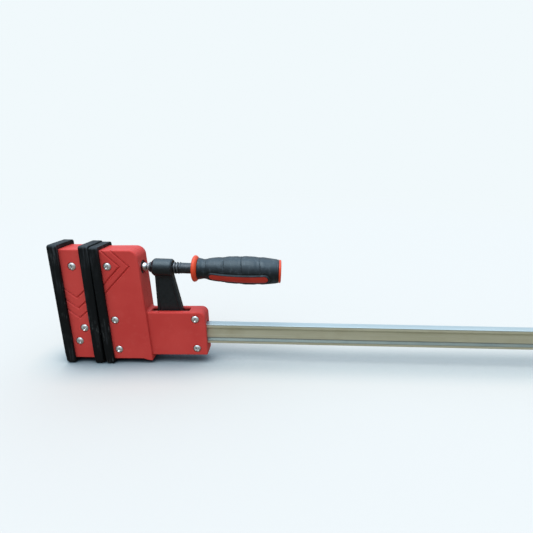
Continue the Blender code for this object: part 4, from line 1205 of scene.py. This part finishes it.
nt.links.new(under.outputs["Shader"], ground.inputs[1])
nt.links.new(bsdf.outputs["BSDF"], ground.inputs[2])
out = nt.nodes["Material Output"]
co = nt.nodes.new("ShaderNodeTexCoord")
ln = nt.nodes.new("ShaderNodeVectorMath")
ln.operation = "LENGTH"
nt.links.new(co.outputs["Object"], ln.inputs[0])
mr = nt.nodes.new("ShaderNodeMapRange")
mr.interpolation_type = "SMOOTHSTEP"
mr.inputs["From Min"].default_value = 0.9
mr.inputs["From Max"].default_value = 3.0
nt.links.new(ln.outputs["Value"], mr.inputs["Value"])
em = nt.nodes.new("ShaderNodeEmission")
em.inputs["Color"].default_value = (*SKY, 1.0)
mx = nt.nodes.new("ShaderNodeMixShader")
nt.links.new(mr.outputs["Result"], mx.inputs["Fac"])
nt.links.new(bsdf.outputs["BSDF"], mx.inputs[1])
nt.links.new(em.outputs["Emission"], mx.inputs[2])
nt.links.new(mx.outputs["Shader"], ground.inputs[2])
nt.links.new(ground.outputs["Shader"], out.inputs["Surface"])
bm = bmesh.new()
bmesh.ops.create_circle(bm, cap_ends=True, cap_tris=False, segments=96, radius=30.0)
me = bpy.data.meshes.new("floor")
bm.to_mesh(me)
bm.free()
floor = bpy.data.objects.new("floor", me)
bpy.context.scene.collection.objects.link(floor)
me.materials.append(fm)

# ------------------------------------------------------------------ light
world = bpy.data.worlds.new("studio")
bpy.context.scene.world = world
world.use_nodes = True
nt = world.node_tree
bg = nt.nodes["Background"]
out = nt.nodes["World Output"]
co = nt.nodes.new("ShaderNodeTexCoord")
sep = nt.nodes.new("ShaderNodeSeparateXYZ")
nt.links.new(co.outputs["Generated"], sep.inputs[0])
ramp = nt.nodes.new("ShaderNodeValToRGB")
nt.links.new(sep.outputs["Z"], ramp.inputs["Fac"])
ramp.color_ramp.elements[0].position = 0.0
ramp.color_ramp.elements[0].color = (0.36, 0.40, 0.43, 1.0)
ramp.color_ramp.elements[1].position = 1.0
ramp.color_ramp.elements[1].color = (1.36, 1.52, 1.66, 1.0)
nt.links.new(ramp.outputs["Color"], bg.inputs["Color"])
bg.inputs["Strength"].default_value = 1.0
panel = nt.nodes.new("ShaderNodeValToRGB")
nt.links.new(sep.outputs["Z"], panel.inputs["Fac"])
panel.color_ramp.elements[0].position = 0.0
panel.color_ramp.elements[0].color = (0.34, 0.38, 0.42, 1.0)
panel.color_ramp.elements[1].position = 1.0
panel.color_ramp.elements[1].color = (2.3, 3.0, 3.7, 1.0)
for at, rgb in ((0.3, (0.55, 0.64, 0.72)), (0.55, (0.88, 1.08, 1.25)), (0.75, (1.9, 2.5, 3.05))):
    stop = panel.color_ramp.elements.new(at)
    stop.color = (*rgb, 1.0)
gloss = nt.nodes.new("ShaderNodeBackground")
nt.links.new(panel.outputs["Color"], gloss.inputs["Color"])
seen = nt.nodes.new("ShaderNodeBackground")
seen.inputs["Color"].default_value = (*SKY, 1.0)
path = nt.nodes.new("ShaderNodeLightPath")
mx = nt.nodes.new("ShaderNodeMixShader")
lit = nt.nodes.new("ShaderNodeMixShader")
nt.links.new(path.outputs["Is Glossy Ray"], lit.inputs["Fac"])
nt.links.new(bg.outputs["Background"], lit.inputs[1])
nt.links.new(gloss.outputs["Background"], lit.inputs[2])
nt.links.new(path.outputs["Is Camera Ray"], mx.inputs["Fac"])
nt.links.new(lit.outputs["Shader"], mx.inputs[1])
nt.links.new(seen.outputs["Background"], mx.inputs[2])
nt.links.new(mx.outputs["Shader"], out.inputs["Surface"])


# a broad, nearly overhead light: the whole ceiling of a light tent
data = bpy.data.lights.new("tent_light", "SUN")
data.energy = 1.9
data.angle = math.radians(50.0)
data.color = (1.0, 0.955, 0.90)
data.specular_factor = 0.35
tent = bpy.data.objects.new("tent_light", data)
tent.rotation_mode = "QUATERNION"
tent.rotation_quaternion = Vector((0.20, 0.28, -1.0)).to_track_quat("-Z", "Y")
bpy.context.scene.collection.objects.link(tent)

# ------------------------------------------------------------------ camera
PITCH_A, ROLL_A, YAW_A, LEAN_A = 0.28736, 0.02831, -0.01905, -0.01801
CAM_H, CAM_X, CAM_Y = 279.293, -232.778, 444.803      # clamp frame's origin from the camera, mm


def to_clamp(v):
    """Camera-levelled vector turned into the clamp frame."""
    c, s = math.cos(YAW_A), math.sin(YAW_A)
    x, y, z = v[0] * c + v[1] * s, -v[0] * s + v[1] * c, v[2]
    c, s = math.cos(LEAN_A), math.sin(LEAN_A)
    return Vector((x * c - z * s, y, x * s + z * c))


cp, sp_ = math.cos(PITCH_A), math.sin(PITCH_A)
cr, sr = math.cos(ROLL_A), math.sin(ROLL_A)
ahead = Vector((0, cp, -sp_))
down = Vector((0, -sp_, -cp))
right = Vector((1, 0, 0))
img_right, img_down = right * cr - down * sr, right * sr + down * cr
eye = CLAMP @ to_clamp((-CAM_X, -CAM_Y, CAM_H))
cx, cy, cz = to_clamp(img_right), -to_clamp(img_down), -to_clamp(ahead)
cam_data = bpy.data.cameras.new("camera")
cam_data.sensor_width = 36.0
cam_data.lens = 335.259 / 533.0 * 36.0
cam_data.clip_start, cam_data.clip_end = 0.01, 100.0
cam = bpy.data.objects.new("camera", cam_data)
cam.matrix_world = Matrix(((cx[0], cy[0], cz[0], eye[0]), (cx[1], cy[1], cz[1], eye[1]),
                           (cx[2], cy[2], cz[2], eye[2]), (0, 0, 0, 1)))
bpy.context.scene.collection.objects.link(cam)
bpy.context.scene.camera = cam
bpy.context.scene.view_settings.view_transform = "Standard"
